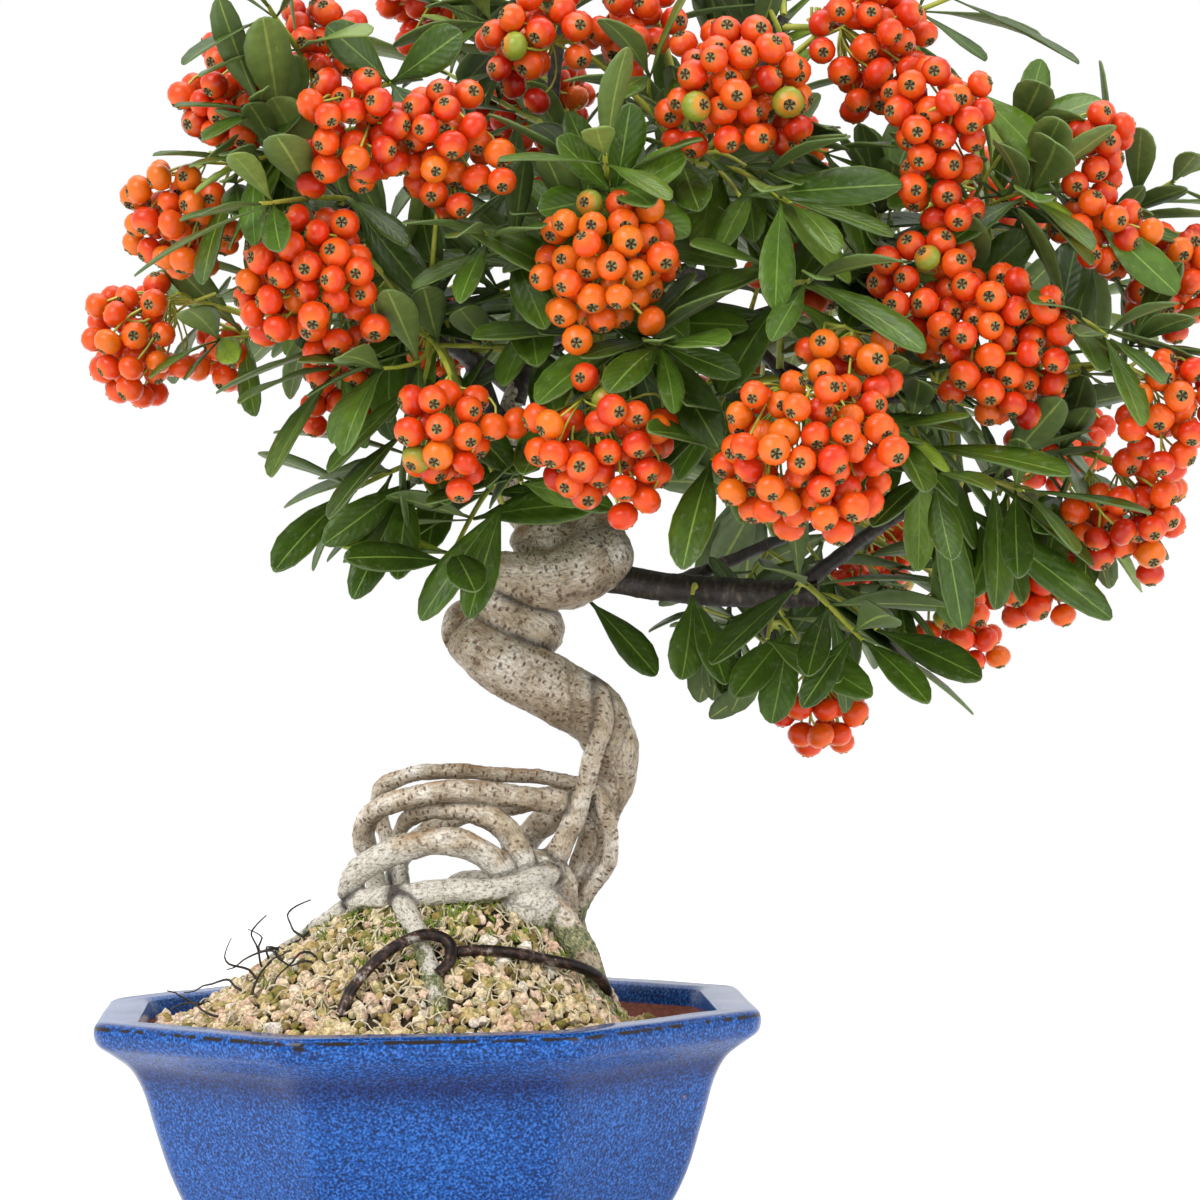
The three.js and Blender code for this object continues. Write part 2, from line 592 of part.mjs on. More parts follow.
function bunch(lumps) {
  const hub = point(...lumps[0]);
  const reach = barkBeside(hub, stalkRadius).distanceTo(hub);
  return growBunch(lumps, plainestClear(reach, (bow) => growBunch(lumps, bow, gap)));
}

// Leafy shoots, each past a place near the branch that bears it and on to its tip
const shoots = {
  '01': [[5, -10, 197], [-18, -21, 192]],
  '02': [[19, -13, 190], [6, -45, 175]],
  '03': [[-4, -10, 234], [-21, -29, 220]],
  '04': [[15, -16, 226], [0, -45, 226]],
  '05': [[-11, -39, 254], [-36, -73, 257]],
  '06': [[-20, -34, 280], [-34, -58, 304]],
  '07': [[46, -44, 246], [42, -86, 266]],
  '08': [[30, -30, 236], [15, -70, 250]],
  '09': [[24, -16, 204], [23, -56, 193]],
  10: [[72, -40, 262], [84, -84, 255]],
  11: [[85, -45, 231], [88, -90, 237]],
  12: [[71, -44, 212], [66, -79, 197]],
  13: [[112, -62, 201], [116, -87, 191]],
  14: [[129, -37, 189], [139, -68, 189]],
  15: [[152, -44, 219], [159, -74, 224]],
  16: [[146, -28, 251], [141, -66, 258]],
  17: [[167, -20, 254], [186, -24, 266]],
  18: [[89, -25, 167], [103, -51, 155]],
  19: [[115, -7, 297], [134, -18, 312]],
  20: [[34, -2, 308], [33, 12, 340]],
  21: [[-6, 46, 250], [-26, 74, 246]],
  22: [[47, 52, 257], [50, 88, 262]],
  23: [[104, 52, 246], [120, 86, 246]],
  24: [[15, 29, 287], [8, 58, 304]],
};

// One blade: narrow at its foot, widest past its middle, with a keel below, bowed down to its tip.
function blade({ foot, along, up, length, droop }, swell) {
  const half = (length * leafWidthShare) / 2 + swell;
  const side = along.clone().cross(up).normalize();
  const top = side.clone().cross(along).normalize();
  const at = (share, across, lift) => foot.clone()
    .addScaledVector(along, share * length)
    .addScaledVector(side, across)
    .addScaledVector(top, lift - droop * share * share * length);
  const ring = (share, width) => [
    at(share, -half * width, swell), at(share, half * width, swell), at(share, 0, -leafThickness - swell),
  ];
  return { rings: [ring(0.4, 0.8), ring(0.76, 1)], tip: at(1 + swell / length, 0, 0), neck: ring(0.15, 0.3) };
}
function bladeAlone(leaf) {
  const { rings, tip, neck } = blade(leaf, gap);
  const growth = seedling(neck);
  graft(growth, 1, rings, tip);
  return grownSolid(growth);
}

// Places of the whorls as shares of a shoot's curve, and how each is turned round it.
function whorlPlaces(curve) {
  const span = whorls.last - whorls.first;
  const spaces = Math.max(whorls.least - 1, Math.round((span * curve.getLength()) / whorls.apart));
  return Array.from({ length: spaces + 1 }, (_, whorl) => whorls.first + (span * whorl) / spaces);
}
const whorlTurn = (number, whorl) => number + whorl * 0.7;

// Where a leaf stands and how it hangs. Each leaf has a random draw of its own, and a new one for each
// attempt that was in the way. After the last whorl comes the leaf at the tip.
function leafDraw(curve, number, whorl, arm, attempt) {
  const random = seeded(1000 + number * 131 + whorl * 17 + arm * 5 + attempt * 7919);
  const t = whorlPlaces(curve)[whorl] ?? 1;
  const atTip = t === 1;
  const along = curve.getTangent(t);
  const { u, v } = acrossStem(along);
  const turn = whorlTurn(number, whorl) + arm * third + (random() - 0.5) * (0.5 + 0.25 * attempt);
  const lean = (random() - 0.5) * (0.3 + 0.1 * attempt);
  const spread = atTip ? 0.1 : THREE.MathUtils.lerp(1.25, 0.75, t) + lean;
  const way = along.clone().multiplyScalar(Math.cos(spread))
    .addScaledVector(u, Math.cos(turn) * Math.sin(spread))
    .addScaledVector(v, Math.sin(turn) * Math.sin(spread));
  way.z -= 0.1;
  way.normalize();
  const length = THREE.MathUtils.lerp(leafLength.least, leafLength.most, random()) * (1 - 0.2 * t);
  const middle = curve.getPoint(t);
  const outward = middle.clone().sub(crownMiddle).normalize();
  const up = point((random() - 0.5) * 0.5, (random() - 0.5) * 0.5, 1).addScaledVector(outward, 0.5);
  const foot = middle.addScaledVector(way, shootRadius * 0.6);
  return { foot, along: way, up, length, droop: 0.05 + 0.16 * random() };
}

// The shoot as one body, and its last leaf as a body of its own that starts on the stem.
function growShoot(curve, number, leaves, swell = 0) {
  const half = whorlHalf / curve.getLength();
  const places = whorlPlaces(curve);
  const levels = [[0, 0], ...places.flatMap((t, whorl) => [[t - half, whorl], [t + half, whorl]])];
  const rings = levels.map(([t, whorl]) => (
    stemRing(curve, Math.min(t, 1), (shootRadius + swell) * (1.2 - 0.4 * t), whorlTurn(number, whorl))
  ));
  const growth = seedling(rings[0]);
  const nodes = [];
  let end = 1;
  for (let r = 1; r < rings.length; r++) {
    const first = growth.faces.length;
    end = graft(growth, end, [rings[r]]);
    if (r % 2 === 0) nodes.push([first, first + 2, first + 4]);
  }
  let lastLeaf = null;
  for (const { whorl, leaf } of leaves) {
    const { rings: sections, tip } = blade(leaf, swell);
    const free = nodes[whorl]?.filter((face) => !growth.used.has(face)) ?? [end];
    const face = facing(growth, free, curve.getPoint(places[whorl] ?? 0.9), leaf.along);
    lastLeaf = seedling(growth.faces[face].map((i) => growth.points[i]));
    graft(lastLeaf, 1, sections, tip);
    graft(growth, face, sections, tip);
  }
  return { body: grownSolid(growth), lastLeaf: lastLeaf && grownSolid(lastLeaf) };
}

const lumpsOfAll = Object.values(bunches).flat();
function isAmongBerries({ foot, along, length }) {
  const places = [0.3, 0.5, 0.7, 0.9, 1].map((share) => foot.clone().addScaledVector(along, share * length));
  return lumpsOfAll.some(([x, y, z, radius]) => (
    places.some((place) => place.distanceTo(point(x, y, z)) < radius + 1)
  ));
}

function shoot([near, tip], number) {
  const by = point(...near);
  const end = point(...tip);
  const start = barkBeside(by, shootRadius);
  const bent = (bow) => {
    const middle = by.clone().lerp(start.clone().lerp(end, 0.5), 0.4).add(bow);
    return new THREE.CatmullRomCurve3([start, middle, end], false, 'centripetal');
  };
  const stemAlone = (bow) => growShoot(bent(bow), number, [], gap).body;
  const curve = bent(plainestClear(start.distanceTo(end), stemAlone));
  const own = [withBox(growShoot(curve, number, []).body)];
  const isOff = (other) => own.every((one) => !cross(other, other.boundingBox(), one));
  const leaves = [];
  for (let n = 0; n < whorlPlaces(curve).length * 3 + 1; n++) {
    const whorl = Math.floor(n / 3);
    for (let attempt = 0; attempt < attemptsPerLeaf; attempt++) {
      const leaf = leafDraw(curve, number, whorl, n % 3, attempt);
      if (isAmongBerries(leaf)) continue;
      const tried = [...leaves, { whorl, leaf }];
      const { lastLeaf } = growShoot(curve, number, tried);
      if (!isOff(bladeAlone(leaf)) || !isOff(lastLeaf)) continue;
      if (!isClear(growShoot(curve, number, tried, gap / 2).body)) continue;
      own.push(withBox(lastLeaf));
      leaves.push({ whorl, leaf });
      break;
    }
  }
  return growShoot(curve, number, leaves).body;
}

// The whole tree
function paint(color, roughness, metalness = 0) {
  return new THREE.MeshStandardMaterial({ color, roughness, metalness });
}
const glaze = paint(0x2b5bc4, 0.15);
const grit = paint(0xc2a274, 0.95);
const copper = paint(0x3b2a22, 0.4, 0.6);
const barkPaint = paint(0x9a9082, 0.8);
const berrySkin = paint(0xe2552a, 0.3);
const leafGreen = paint(0x3b5c2c, 0.4);

const group = new THREE.Group();
function add(name, body, material) {
  const mesh = new THREE.Mesh(geometryOf(body), material);
  mesh.name = name;
  group.add(mesh);
  placed.push(withBox(body));
}

const woodWithGap = joined(woodPieces(gap));
add('pot', pot(), glaze);
add('trunk', joined(woodPieces()), barkPaint);
add('soil', largestBody(soil().subtract(woodWithGap).subtract(tieWire(gap))), grit);
add('tie_wire', largestBody(tieWire().subtract(woodWithGap)), copper);
Object.keys(bunches).sort().forEach((name) => add(`berry_bunch_${name}`, bunch(bunches[name]), berrySkin));
Object.keys(shoots).sort().forEach((name, number) => {
  add(`leafy_shoot_${name}`, shoot(shoots[name], number), leafGreen);
});

const middle = new THREE.Box3().setFromObject(group).getCenter(new THREE.Vector3());
group.position.set(-middle.x, -middle.y, 0);

export default group;
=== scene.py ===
import math

import bmesh
import bpy
import numpy as np
from mathutils import Matrix, Quaternion, Vector, kdtree


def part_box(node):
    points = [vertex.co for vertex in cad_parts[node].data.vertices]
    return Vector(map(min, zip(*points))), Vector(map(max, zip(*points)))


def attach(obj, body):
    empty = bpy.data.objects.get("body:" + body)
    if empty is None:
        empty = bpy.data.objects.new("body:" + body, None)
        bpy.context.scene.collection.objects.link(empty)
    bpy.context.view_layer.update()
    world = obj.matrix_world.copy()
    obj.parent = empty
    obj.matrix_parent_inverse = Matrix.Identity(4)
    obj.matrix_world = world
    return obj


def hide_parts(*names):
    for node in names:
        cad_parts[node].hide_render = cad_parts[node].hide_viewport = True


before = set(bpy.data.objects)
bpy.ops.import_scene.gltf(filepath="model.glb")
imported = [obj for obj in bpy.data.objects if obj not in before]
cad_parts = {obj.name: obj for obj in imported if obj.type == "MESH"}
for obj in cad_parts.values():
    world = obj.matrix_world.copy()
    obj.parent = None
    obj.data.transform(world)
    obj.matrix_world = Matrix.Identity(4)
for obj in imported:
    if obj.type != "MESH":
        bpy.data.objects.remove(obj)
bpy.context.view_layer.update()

mm = 0.001
potLow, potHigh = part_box("pot")
potMiddle = Vector(((potLow.x + potHigh.x) / 2, (potLow.y + potHigh.y) / 2, 0))


# Places are given in millimetres from the middle of the pot's foot, as on the bench.
def at(x, y, z):
    return Vector((x, y, z)) * mm + potMiddle


def seeded(seed):
    return np.random.default_rng(seed)


def clearSelection():
    if bpy.context.object and bpy.context.object.mode != "OBJECT":
        bpy.ops.object.mode_set(mode="OBJECT")
    bpy.ops.object.select_all(action="DESELECT")


def choose(*objects):
    clearSelection()
    for one in objects:
        one.select_set(True)
    bpy.context.view_layer.objects.active = objects[0]
    return objects[0]


def joinPieces(name, objects):
    whole = choose(*objects)
    if len(objects) > 1:
        bpy.ops.object.join()
    whole.name = name
    whole.data.name = name
    return whole


def applyModifier(piece, kind, **settings):
    choose(piece)
    modifier = piece.modifiers.new(kind.title(), kind)
    for setting, value in settings.items():
        setattr(modifier, setting, value)
    bpy.ops.object.modifier_apply(modifier=modifier.name)


def settle(piece, slotName, *replaced):
    choose(piece)
    bpy.ops.object.transform_apply(location=True, rotation=True, scale=True)
    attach(piece, "root")
    if replaced:
        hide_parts(*replaced)
    return piece


def storeFloats(mesh, name, values):
    attribute = mesh.attributes.get(name) or mesh.attributes.new(name, "FLOAT", "POINT")
    attribute.data.foreach_set("value", np.asarray(values, np.float32))


def coordsOf(mesh):
    coords = np.empty(len(mesh.vertices) * 3, np.float32)
    mesh.vertices.foreach_get("co", coords)
    return coords.reshape(-1, 3)


def setCoords(mesh, coords):
    mesh.vertices.foreach_set("co", np.asarray(coords, np.float32).ravel())
    mesh.update()


# Coordinates in millimetres from the middle of the pot's foot.
def benchCoords(mesh):
    return (coordsOf(mesh) - np.array(potMiddle)) / mm


def setBenchCoords(mesh, coords):
    setCoords(mesh, coords * mm + np.array(potMiddle))


# A copy of a pattern with a mesh of its own.
def copyOf(pattern):
    copy = pattern.copy()
    copy.data = pattern.data.copy()
    bpy.context.collection.objects.link(copy)
    return copy


# The camera stands where the photograph was taken from, almost level with the top of the trunk.
view = {"distance": 1031, "aside": 44.2, "height": 165, "turn": -3.3, "roll": -0.85, "lens": 125.27}


def makeCamera():
    turn = Matrix.Rotation(math.radians(view["turn"]), 4, "Z")
    bpy.ops.object.camera_add()
    camera = bpy.context.object
    camera.name = "camera"
    camera.data.lens = view["lens"]
    camera.data.sensor_width = 36
    camera.data.clip_start = 0.05
    level = turn @ Matrix.Rotation(math.radians(90), 4, "X")
    look = level @ Matrix.Rotation(math.radians(view["roll"]), 4, "Z")
    camera.matrix_world = Matrix.Translation(
        turn @ Vector((view["aside"], -view["distance"], view["height"])) * mm + potMiddle
    ) @ look
    bpy.context.scene.camera = camera


makeCamera()
print("camera placed")


# Materials

def srgb(hexText):
    channels = [int(hexText[i:i + 2], 16) / 255 for i in (1, 3, 5)]
    return tuple(c / 12.92 if c <= 0.04045 else ((c + 0.055) / 1.055) ** 2.4 for c in channels) + (1.0,)


# A node with its settings, the values or links of its inputs, and its ramp's stops. It gives the outputs back.
def addNode(tree, kind, settings=None, inputs=None, stops=None):
    node = tree.nodes.new("ShaderNode" + kind)
    for name, value in (settings or {}).items():
        setattr(node, name, value)
    for name, value in (inputs or {}).items():
        if isinstance(value, bpy.types.NodeSocket):
            tree.links.new(value, node.inputs[name])
        else:
            node.inputs[name].default_value = value
    if stops:
        elements = node.color_ramp.elements
        while len(elements) < len(stops):
            elements.new(0.5)
        for element, (place, colour) in zip(elements, stops):
            element.position = place
            element.color = srgb(colour) if isinstance(colour, str) else (colour, colour, colour, 1)
    return node.outputs


# A new material with the values of its shader's sockets, its node tree, and the place on the piece in metres.
def newMaterial(name, values):
    material = bpy.data.materials.new(name)
    material.use_nodes = True
    tree = material.node_tree
    for socket, value in values.items():
        tree.nodes["Principled BSDF"].inputs[socket].default_value = value
    return material, tree, addNode(tree, "TexCoord")["Object"]


# The colour goes into the shader. Where there is a height, it makes the surface bumpy, by a depth in metres.
def finishMaterial(material, colour, height=None, strength=0.0, depth=0.0):
    tree = material.node_tree
    sockets = tree.nodes["Principled BSDF"].inputs
    tree.links.new(colour, sockets["Base Color"])
    if height is not None:
        bump = addNode(tree, "Bump", inputs={"Height": height, "Strength": strength, "Distance": depth})
        tree.links.new(bump["Normal"], sockets["Normal"])
    return material


# How a colour is laid over another: it covers it, or darkens it.
covered = {"data_type": "RGBA"}
multiplied = {"data_type": "RGBA", "blend_type": "MULTIPLY"}


# Cobalt stoneware glaze, dipped and fired: deep blue glass over clay, finely speckled, thin and brown on edges,
# with painted shade in the hollow under the lip.
def makeGlaze():
    material, tree, place = newMaterial("cobaltGlaze", {
        "Roughness": 0.18, "IOR": 1.52, "Specular IOR Level": 0.27, "Coat Weight": 0.06, "Coat Roughness": 0.05,
    })
    mottle = addNode(tree, "TexNoise", inputs={"Vector": place, "Scale": 70, "Detail": 4})
    deep = addNode(tree, "ValToRGB", inputs={"Fac": mottle["Fac"]},
                   stops=[(0.3, "#003A80"), (0.5, "#02438C"), (0.7, "#084C98")])
    grit = addNode(tree, "TexNoise", inputs={"Vector": place, "Scale": 1500, "Detail": 1})
    deepSpecks = addNode(tree, "ValToRGB", inputs={"Fac": grit["Fac"]}, stops=[(0.36, 0.9), (0.47, 0.0)])
    paleSpecks = addNode(tree, "ValToRGB", inputs={"Fac": grit["Fac"]}, stops=[(0.53, 0.0), (0.66, 0.75)])
    pits = addNode(tree, "TexVoronoi", inputs={"Vector": place, "Scale": 120, "Randomness": 1.0})
    spots = addNode(tree, "ValToRGB", inputs={"Fac": pits["Distance"]}, stops=[(0.04, 0.85), (0.065, 0.0)])
    pitColour = addNode(tree, "ValToRGB", inputs={"Fac": pits["Color"]},
                        stops=[(0.55, "#16161E"), (0.7, "#9A6A34")])
    lipShade = addNode(tree, "Attribute", {"attribute_name": "lipShade"})
    wear = addNode(tree, "Attribute", {"attribute_name": "wear"})
    ragged = addNode(tree, "TexNoise", inputs={"Vector": place, "Scale": 260, "Detail": 5})
    gaps = addNode(tree, "ValToRGB", inputs={"Fac": ragged["Fac"]}, stops=[(0.38, 0.15), (0.56, 1.0)])
    broken = addNode(tree, "Math", {"operation": "MULTIPLY"}, {0: gaps["Color"], 1: wear["Fac"]})
    brown = addNode(tree, "ValToRGB", inputs={"Fac": broken[0]}, stops=[(0.25, 0.0), (0.6, 1.0)])
    colour = deep["Color"]
    for way, share, tint in (
        (covered, deepSpecks["Color"], srgb("#001E4A")), (covered, paleSpecks["Color"], srgb("#3A74C6")),
        (covered, spots["Color"], pitColour["Color"]),
        (multiplied, lipShade["Fac"], srgb("#8692B0")),  # painted shade: the hollow under the lip is darkened to a deeper blue
        (covered, brown["Color"], srgb("#1C1614")),
    ):
        colour = addNode(tree, "Mix", way, {0: share, 6: colour, 7: tint})[2]
    ripple = addNode(tree, "TexNoise", inputs={"Vector": place, "Scale": 110, "Detail": 3})
    return finishMaterial(material, colour, ripple["Fac"], 0.15, 0.0006)


# Unglazed terracotta, turned and fired: a dry, even red-brown with fine grit.
def makeTerracotta():
    material, tree, place = newMaterial("terracotta", {"Roughness": 0.85})
    grit = addNode(tree, "TexNoise", inputs={"Vector": place, "Scale": 700, "Detail": 5})
    colour = addNode(tree, "ValToRGB", inputs={"Fac": grit["Fac"]},
                     stops=[(0.3, "#5E2C20"), (0.55, "#7A3D2A"), (0.8, "#94573F")])
    return finishMaterial(material, colour["Color"], grit["Fac"], 0.3, 0.0004)


# Living firethorn bark: smooth grey skin with short brown lenticels across the limb, pale lime-washed roots, and
# painted shade on the undersides and in the creases between coils.
def makeBark():
    material, tree, place = newMaterial("firethornBark", {"Roughness": 0.46})
    axes = addNode(tree, "SeparateXYZ", inputs={"Vector": place})
    along = addNode(tree, "Attribute", {"attribute_name": "limbPlace"})["Vector"]
    upness = addNode(tree, "Attribute", {"attribute_name": "upness"})["Fac"]
    creaseShade = addNode(tree, "Attribute", {"attribute_name": "creaseShade"})["Fac"]
    cloud = addNode(tree, "TexNoise", inputs={"Vector": place, "Scale": 110, "Detail": 6, "Roughness": 0.65})
    skin = addNode(tree, "ValToRGB", inputs={"Fac": cloud["Fac"]},
                   stops=[(0.3, "#85745A"), (0.44, "#BAA98F"), (0.56, "#DCD0BD"), (0.68, "#F2ECE2")])
    # a stipple 0.6 mm fine is drawn out a little along the limb
    drawn = addNode(tree, "Mapping", inputs={"Vector": along, "Scale": (850, 1600, 1600)})
    fibre = addNode(tree, "TexNoise",
                    inputs={"Vector": drawn["Vector"], "Scale": 1.0, "Detail": 4, "Roughness": 0.75})
    fibreShade = addNode(tree, "ValToRGB", inputs={"Fac": fibre["Fac"]},
                         stops=[(0.35, 0.38), (0.49, 0.95), (0.64, 1.25)])
    # lenticels 1 to 2 mm long lie across it
    squeezed = addNode(tree, "Mapping", inputs={"Vector": along, "Scale": (900, 430, 430)})
    dash = addNode(tree, "TexVoronoi", inputs={"Vector": squeezed["Vector"], "Scale": 1.0, "Randomness": 1.0})
    dashes = addNode(tree, "ValToRGB", inputs={"Fac": dash["Distance"]}, stops=[(0.18, 0.8), (0.32, 0.0)])
    # painted shade: faces that look down are darkened towards olive-brown
    undersideShade = addNode(tree, "MapRange",
                    inputs={"Value": upness, "From Min": 0.2, "From Max": -0.8, "To Max": 0.6})
    rusty = addNode(tree, "MapRange",
                    inputs={"Value": upness, "From Min": 0.35, "From Max": 0.9, "To Max": 0.75})
    stain = addNode(tree, "TexNoise", inputs={"Vector": place, "Scale": 150, "Detail": 3})
    stainMask = addNode(tree, "ValToRGB", inputs={"Fac": stain["Fac"]}, stops=[(0.48, 0.0), (0.62, 1.0)])
    rustMask = addNode(tree, "Math", {"operation": "MULTIPLY"}, {0: rusty["Result"], 1: stainMask["Color"]})
    patch = addNode(tree, "TexNoise", inputs={"Vector": place, "Scale": 95, "Detail": 7, "Roughness": 0.75})
    # the lime wash is strong up to 98 mm and fades out by 120 mm
    lowness = addNode(tree, "MapRange", inputs={
        "Value": axes["Z"], "From Min": 0.12, "From Max": 0.098, "To Min": -0.35, "To Max": 0.28,
    })
    # the trunk's foot and the roots on its right keep their grey-brown skin
    rightness = addNode(tree, "MapRange",
                        inputs={"Value": axes["X"], "From Min": -0.037, "From Max": -0.028, "To Max": -0.45})
    patched = addNode(tree, "Math", {"operation": "ADD"}, {0: rightness["Result"], 1: patch["Fac"]})
    washed = addNode(tree, "Math", {"operation": "ADD"}, {0: lowness["Result"], 1: patched[0]})
    whiteness = addNode(tree, "ValToRGB", inputs={"Fac": washed[0]}, stops=[(0.5, 0.0), (0.62, 0.94)])
    limeStain = addNode(tree, "ValToRGB", inputs={"Fac": fibre["Fac"]},
                        stops=[(0.34, "#5E5240"), (0.43, "#B6AC9A"), (0.54, "#DEDACF")])
    mossiness = addNode(tree, "MapRange", inputs={
        "Value": axes["Z"], "From Min": 0.1, "From Max": 0.084, "To Min": -0.3, "To Max": 0.25,
    })
    underMoss = addNode(tree, "Math", {"operation": "MULTIPLY_ADD"},
                        {0: upness, 1: -0.16, 2: mossiness["Result"]})
    mossSum = addNode(tree, "Math", {"operation": "ADD"}, {0: underMoss[0], 1: cloud["Fac"]})
    mossMask = addNode(tree, "ValToRGB", inputs={"Fac": mossSum[0]}, stops=[(0.62, 0.0), (0.7, 0.85)])
    mossTint = addNode(tree, "ValToRGB", inputs={"Fac": fibre["Fac"]},
                       stops=[(0.36, "#18220C"), (0.5, "#4C5E1A"), (0.62, "#B0A870")])
    colour = skin["Color"]
    for way, share, tint in (
        (multiplied, 1.0, fibreShade["Color"]), (covered, dashes["Color"], srgb("#70482E")),
        (multiplied, undersideShade["Result"], srgb("#8C7A56")), (covered, rustMask[0], srgb("#A87C4A")),
        (covered, whiteness["Color"], limeStain["Color"]), (covered, mossMask["Color"], mossTint["Color"]),
        # painted shade: dark lines in the creases between coils
        (covered, creaseShade, srgb("#241A12")),
    ):
        colour = addNode(tree, "Mix", way, {0: share, 6: colour, 7: tint})[2]
    rough = addNode(tree, "Math", {"operation": "SUBTRACT"}, {0: fibre["Fac"], 1: dashes["Color"]})
    return finishMaterial(material, colour, rough[0], 0.8, 0.0007)


# Young firethorn bark on the branches: dark brown, nearly black where wet, with grey scuffs.
def makeDarkBark():
    material, tree, place = newMaterial("darkBark", {"Roughness": 0.5})
    along = addNode(tree, "Attribute", {"attribute_name": "limbPlace"})
    squeezed = addNode(tree, "Mapping", inputs={"Vector": along["Vector"], "Scale": (700, 260, 260)})
    rings = addNode(tree, "TexNoise", inputs={"Vector": squeezed["Vector"], "Scale": 1.0, "Detail": 5})
    colour = addNode(tree, "ValToRGB", inputs={"Fac": rings["Fac"]},
                     stops=[(0.32, "#120E0C"), (0.5, "#251D18"), (0.62, "#40352D"), (0.78, "#6A5F52")])
    fine = addNode(tree, "TexNoise", inputs={"Vector": place, "Scale": 1500, "Detail": 3})
    return finishMaterial(material, colour["Color"], fine["Fac"], 0.5, 0.0005)


# Firethorn leaf, upper side: leathery and dark, waxed to a soft gloss, with a pale midrib and a pale film that
# is partly dust and partly painted sheen.
def makeLeafTop():
    material, tree, place = newMaterial("leafUpperSide", {"Roughness": 0.38, "Specular IOR Level": 0.32})
    flat = addNode(tree, "TexCoord")["UV"]
    uv = addNode(tree, "SeparateXYZ", inputs={"Vector": flat})
    tone = addNode(tree, "Attribute", {"attribute_name": "tone"})
    green = addNode(tree, "ValToRGB", inputs={"Fac": tone["Fac"]}, stops=[
        (0.0, "#1C2E06"), (0.35, "#334C0E"), (0.7, "#4A6818"), (0.88, "#64801F"), (1.0, "#88A030"),
    ])
    mottle = addNode(tree, "TexNoise", inputs={"Vector": place, "Scale": 220, "Detail": 4})
    shade = addNode(tree, "ValToRGB", inputs={"Fac": mottle["Fac"]}, stops=[(0.3, 0.72), (0.7, 1.18)])
    aside = addNode(tree, "Math", {"operation": "SUBTRACT"}, {0: uv["X"], 1: 0.5})
    away = addNode(tree, "Math", {"operation": "ABSOLUTE"}, {0: aside[0]})
    rib = addNode(tree, "MapRange", inputs={"Value": away[0], "From Min": 0.032, "From Max": 0.014})
    slant = addNode(tree, "Math", {"operation": "MULTIPLY_ADD"}, {0: away[0], 1: -0.42, 2: uv["Y"]})
    count = addNode(tree, "Math", {"operation": "MULTIPLY"}, {0: slant[0], 1: 75.0})
    wave = addNode(tree, "Math", {"operation": "SINE"}, {0: count[0]})
    vein = addNode(tree, "MapRange",
                   inputs={"Value": wave[0], "From Min": 0.82, "From Max": 1.0, "To Max": 0.16})
    rim = addNode(tree, "MapRange",
                  inputs={"Value": away[0], "From Min": 0.468, "From Max": 0.49, "To Max": 0.4})
    # pale patches: partly real dust, partly painted sheen
    dustSheenNoise = addNode(tree, "TexNoise", inputs={"Vector": place, "Scale": 420, "Detail": 6, "Roughness": 0.75})
    dustAndSheen = addNode(tree, "ValToRGB", inputs={"Fac": dustSheenNoise["Fac"]}, stops=[(0.56, 0.0), (0.76, 0.4)])
    colour = green["Color"]
    for way, share, tint in (
        (multiplied, 1.0, shade["Color"]), (covered, rib["Result"], srgb("#6E8A3A")),
        (covered, vein["Result"], srgb("#56702A")), (covered, rim["Result"], srgb("#7C9432")),
        (covered, dustAndSheen["Color"], srgb("#98A484")),
    ):
        colour = addNode(tree, "Mix", way, {0: share, 6: colour, 7: tint})[2]
    relief = addNode(tree, "Math", {"operation": "MULTIPLY_ADD"}, {0: wave[0], 1: -0.14, 2: mottle["Fac"]})
    return finishMaterial(material, colour, relief[0], 0.4, 0.0004)


# Firethorn leaf, under side: dull, pale olive with a raised yellow-green midrib.
def makeLeafUnder():
    material, tree, place = newMaterial("leafUnderSide", {"Roughness": 0.55})
    flat = addNode(tree, "TexCoord")["UV"]
    uv = addNode(tree, "SeparateXYZ", inputs={"Vector": flat})
    tone = addNode(tree, "Attribute", {"attribute_name": "tone"})
    green = addNode(tree, "ValToRGB", inputs={"Fac": tone["Fac"]},
                    stops=[(0.0, "#42542A"), (0.6, "#586E34"), (1.0, "#74883C")])
    aside = addNode(tree, "Math", {"operation": "SUBTRACT"}, {0: uv["X"], 1: 0.5})
    away = addNode(tree, "Math", {"operation": "ABSOLUTE"}, {0: aside[0]})
    rib = addNode(tree, "MapRange", inputs={"Value": away[0], "From Min": 0.045, "From Max": 0.02})
    ribbed = addNode(tree, "Mix", covered,
                     {0: rib["Result"], 6: green["Color"], 7: srgb("#8A9C4C")})
    mottle = addNode(tree, "TexNoise", inputs={"Vector": place, "Scale": 500, "Detail": 4})
    shade = addNode(tree, "ValToRGB", inputs={"Fac": mottle["Fac"]}, stops=[(0.3, 0.8), (0.7, 1.1)])
    mottled = addNode(tree, "Mix", multiplied, {0: 1.0, 6: ribbed[2], 7: shade["Color"]})
    return finishMaterial(material, mottled[2], mottle["Fac"], 0.25, 0.0003)


# Green shoot and stalk: soft young wood, yellow-green and a little shiny.
def makeStalk():
    material, tree, place = newMaterial("greenStalk", {"Roughness": 0.42})
    mottle = addNode(tree, "TexNoise", inputs={"Vector": place, "Scale": 130, "Detail": 3})
    colour = addNode(tree, "ValToRGB", inputs={"Fac": mottle["Fac"]},
                     stops=[(0.3, "#7E8A2C"), (0.5, "#A6AE3C"), (0.7, "#C2C254")])
    return finishMaterial(material, colour["Color"])


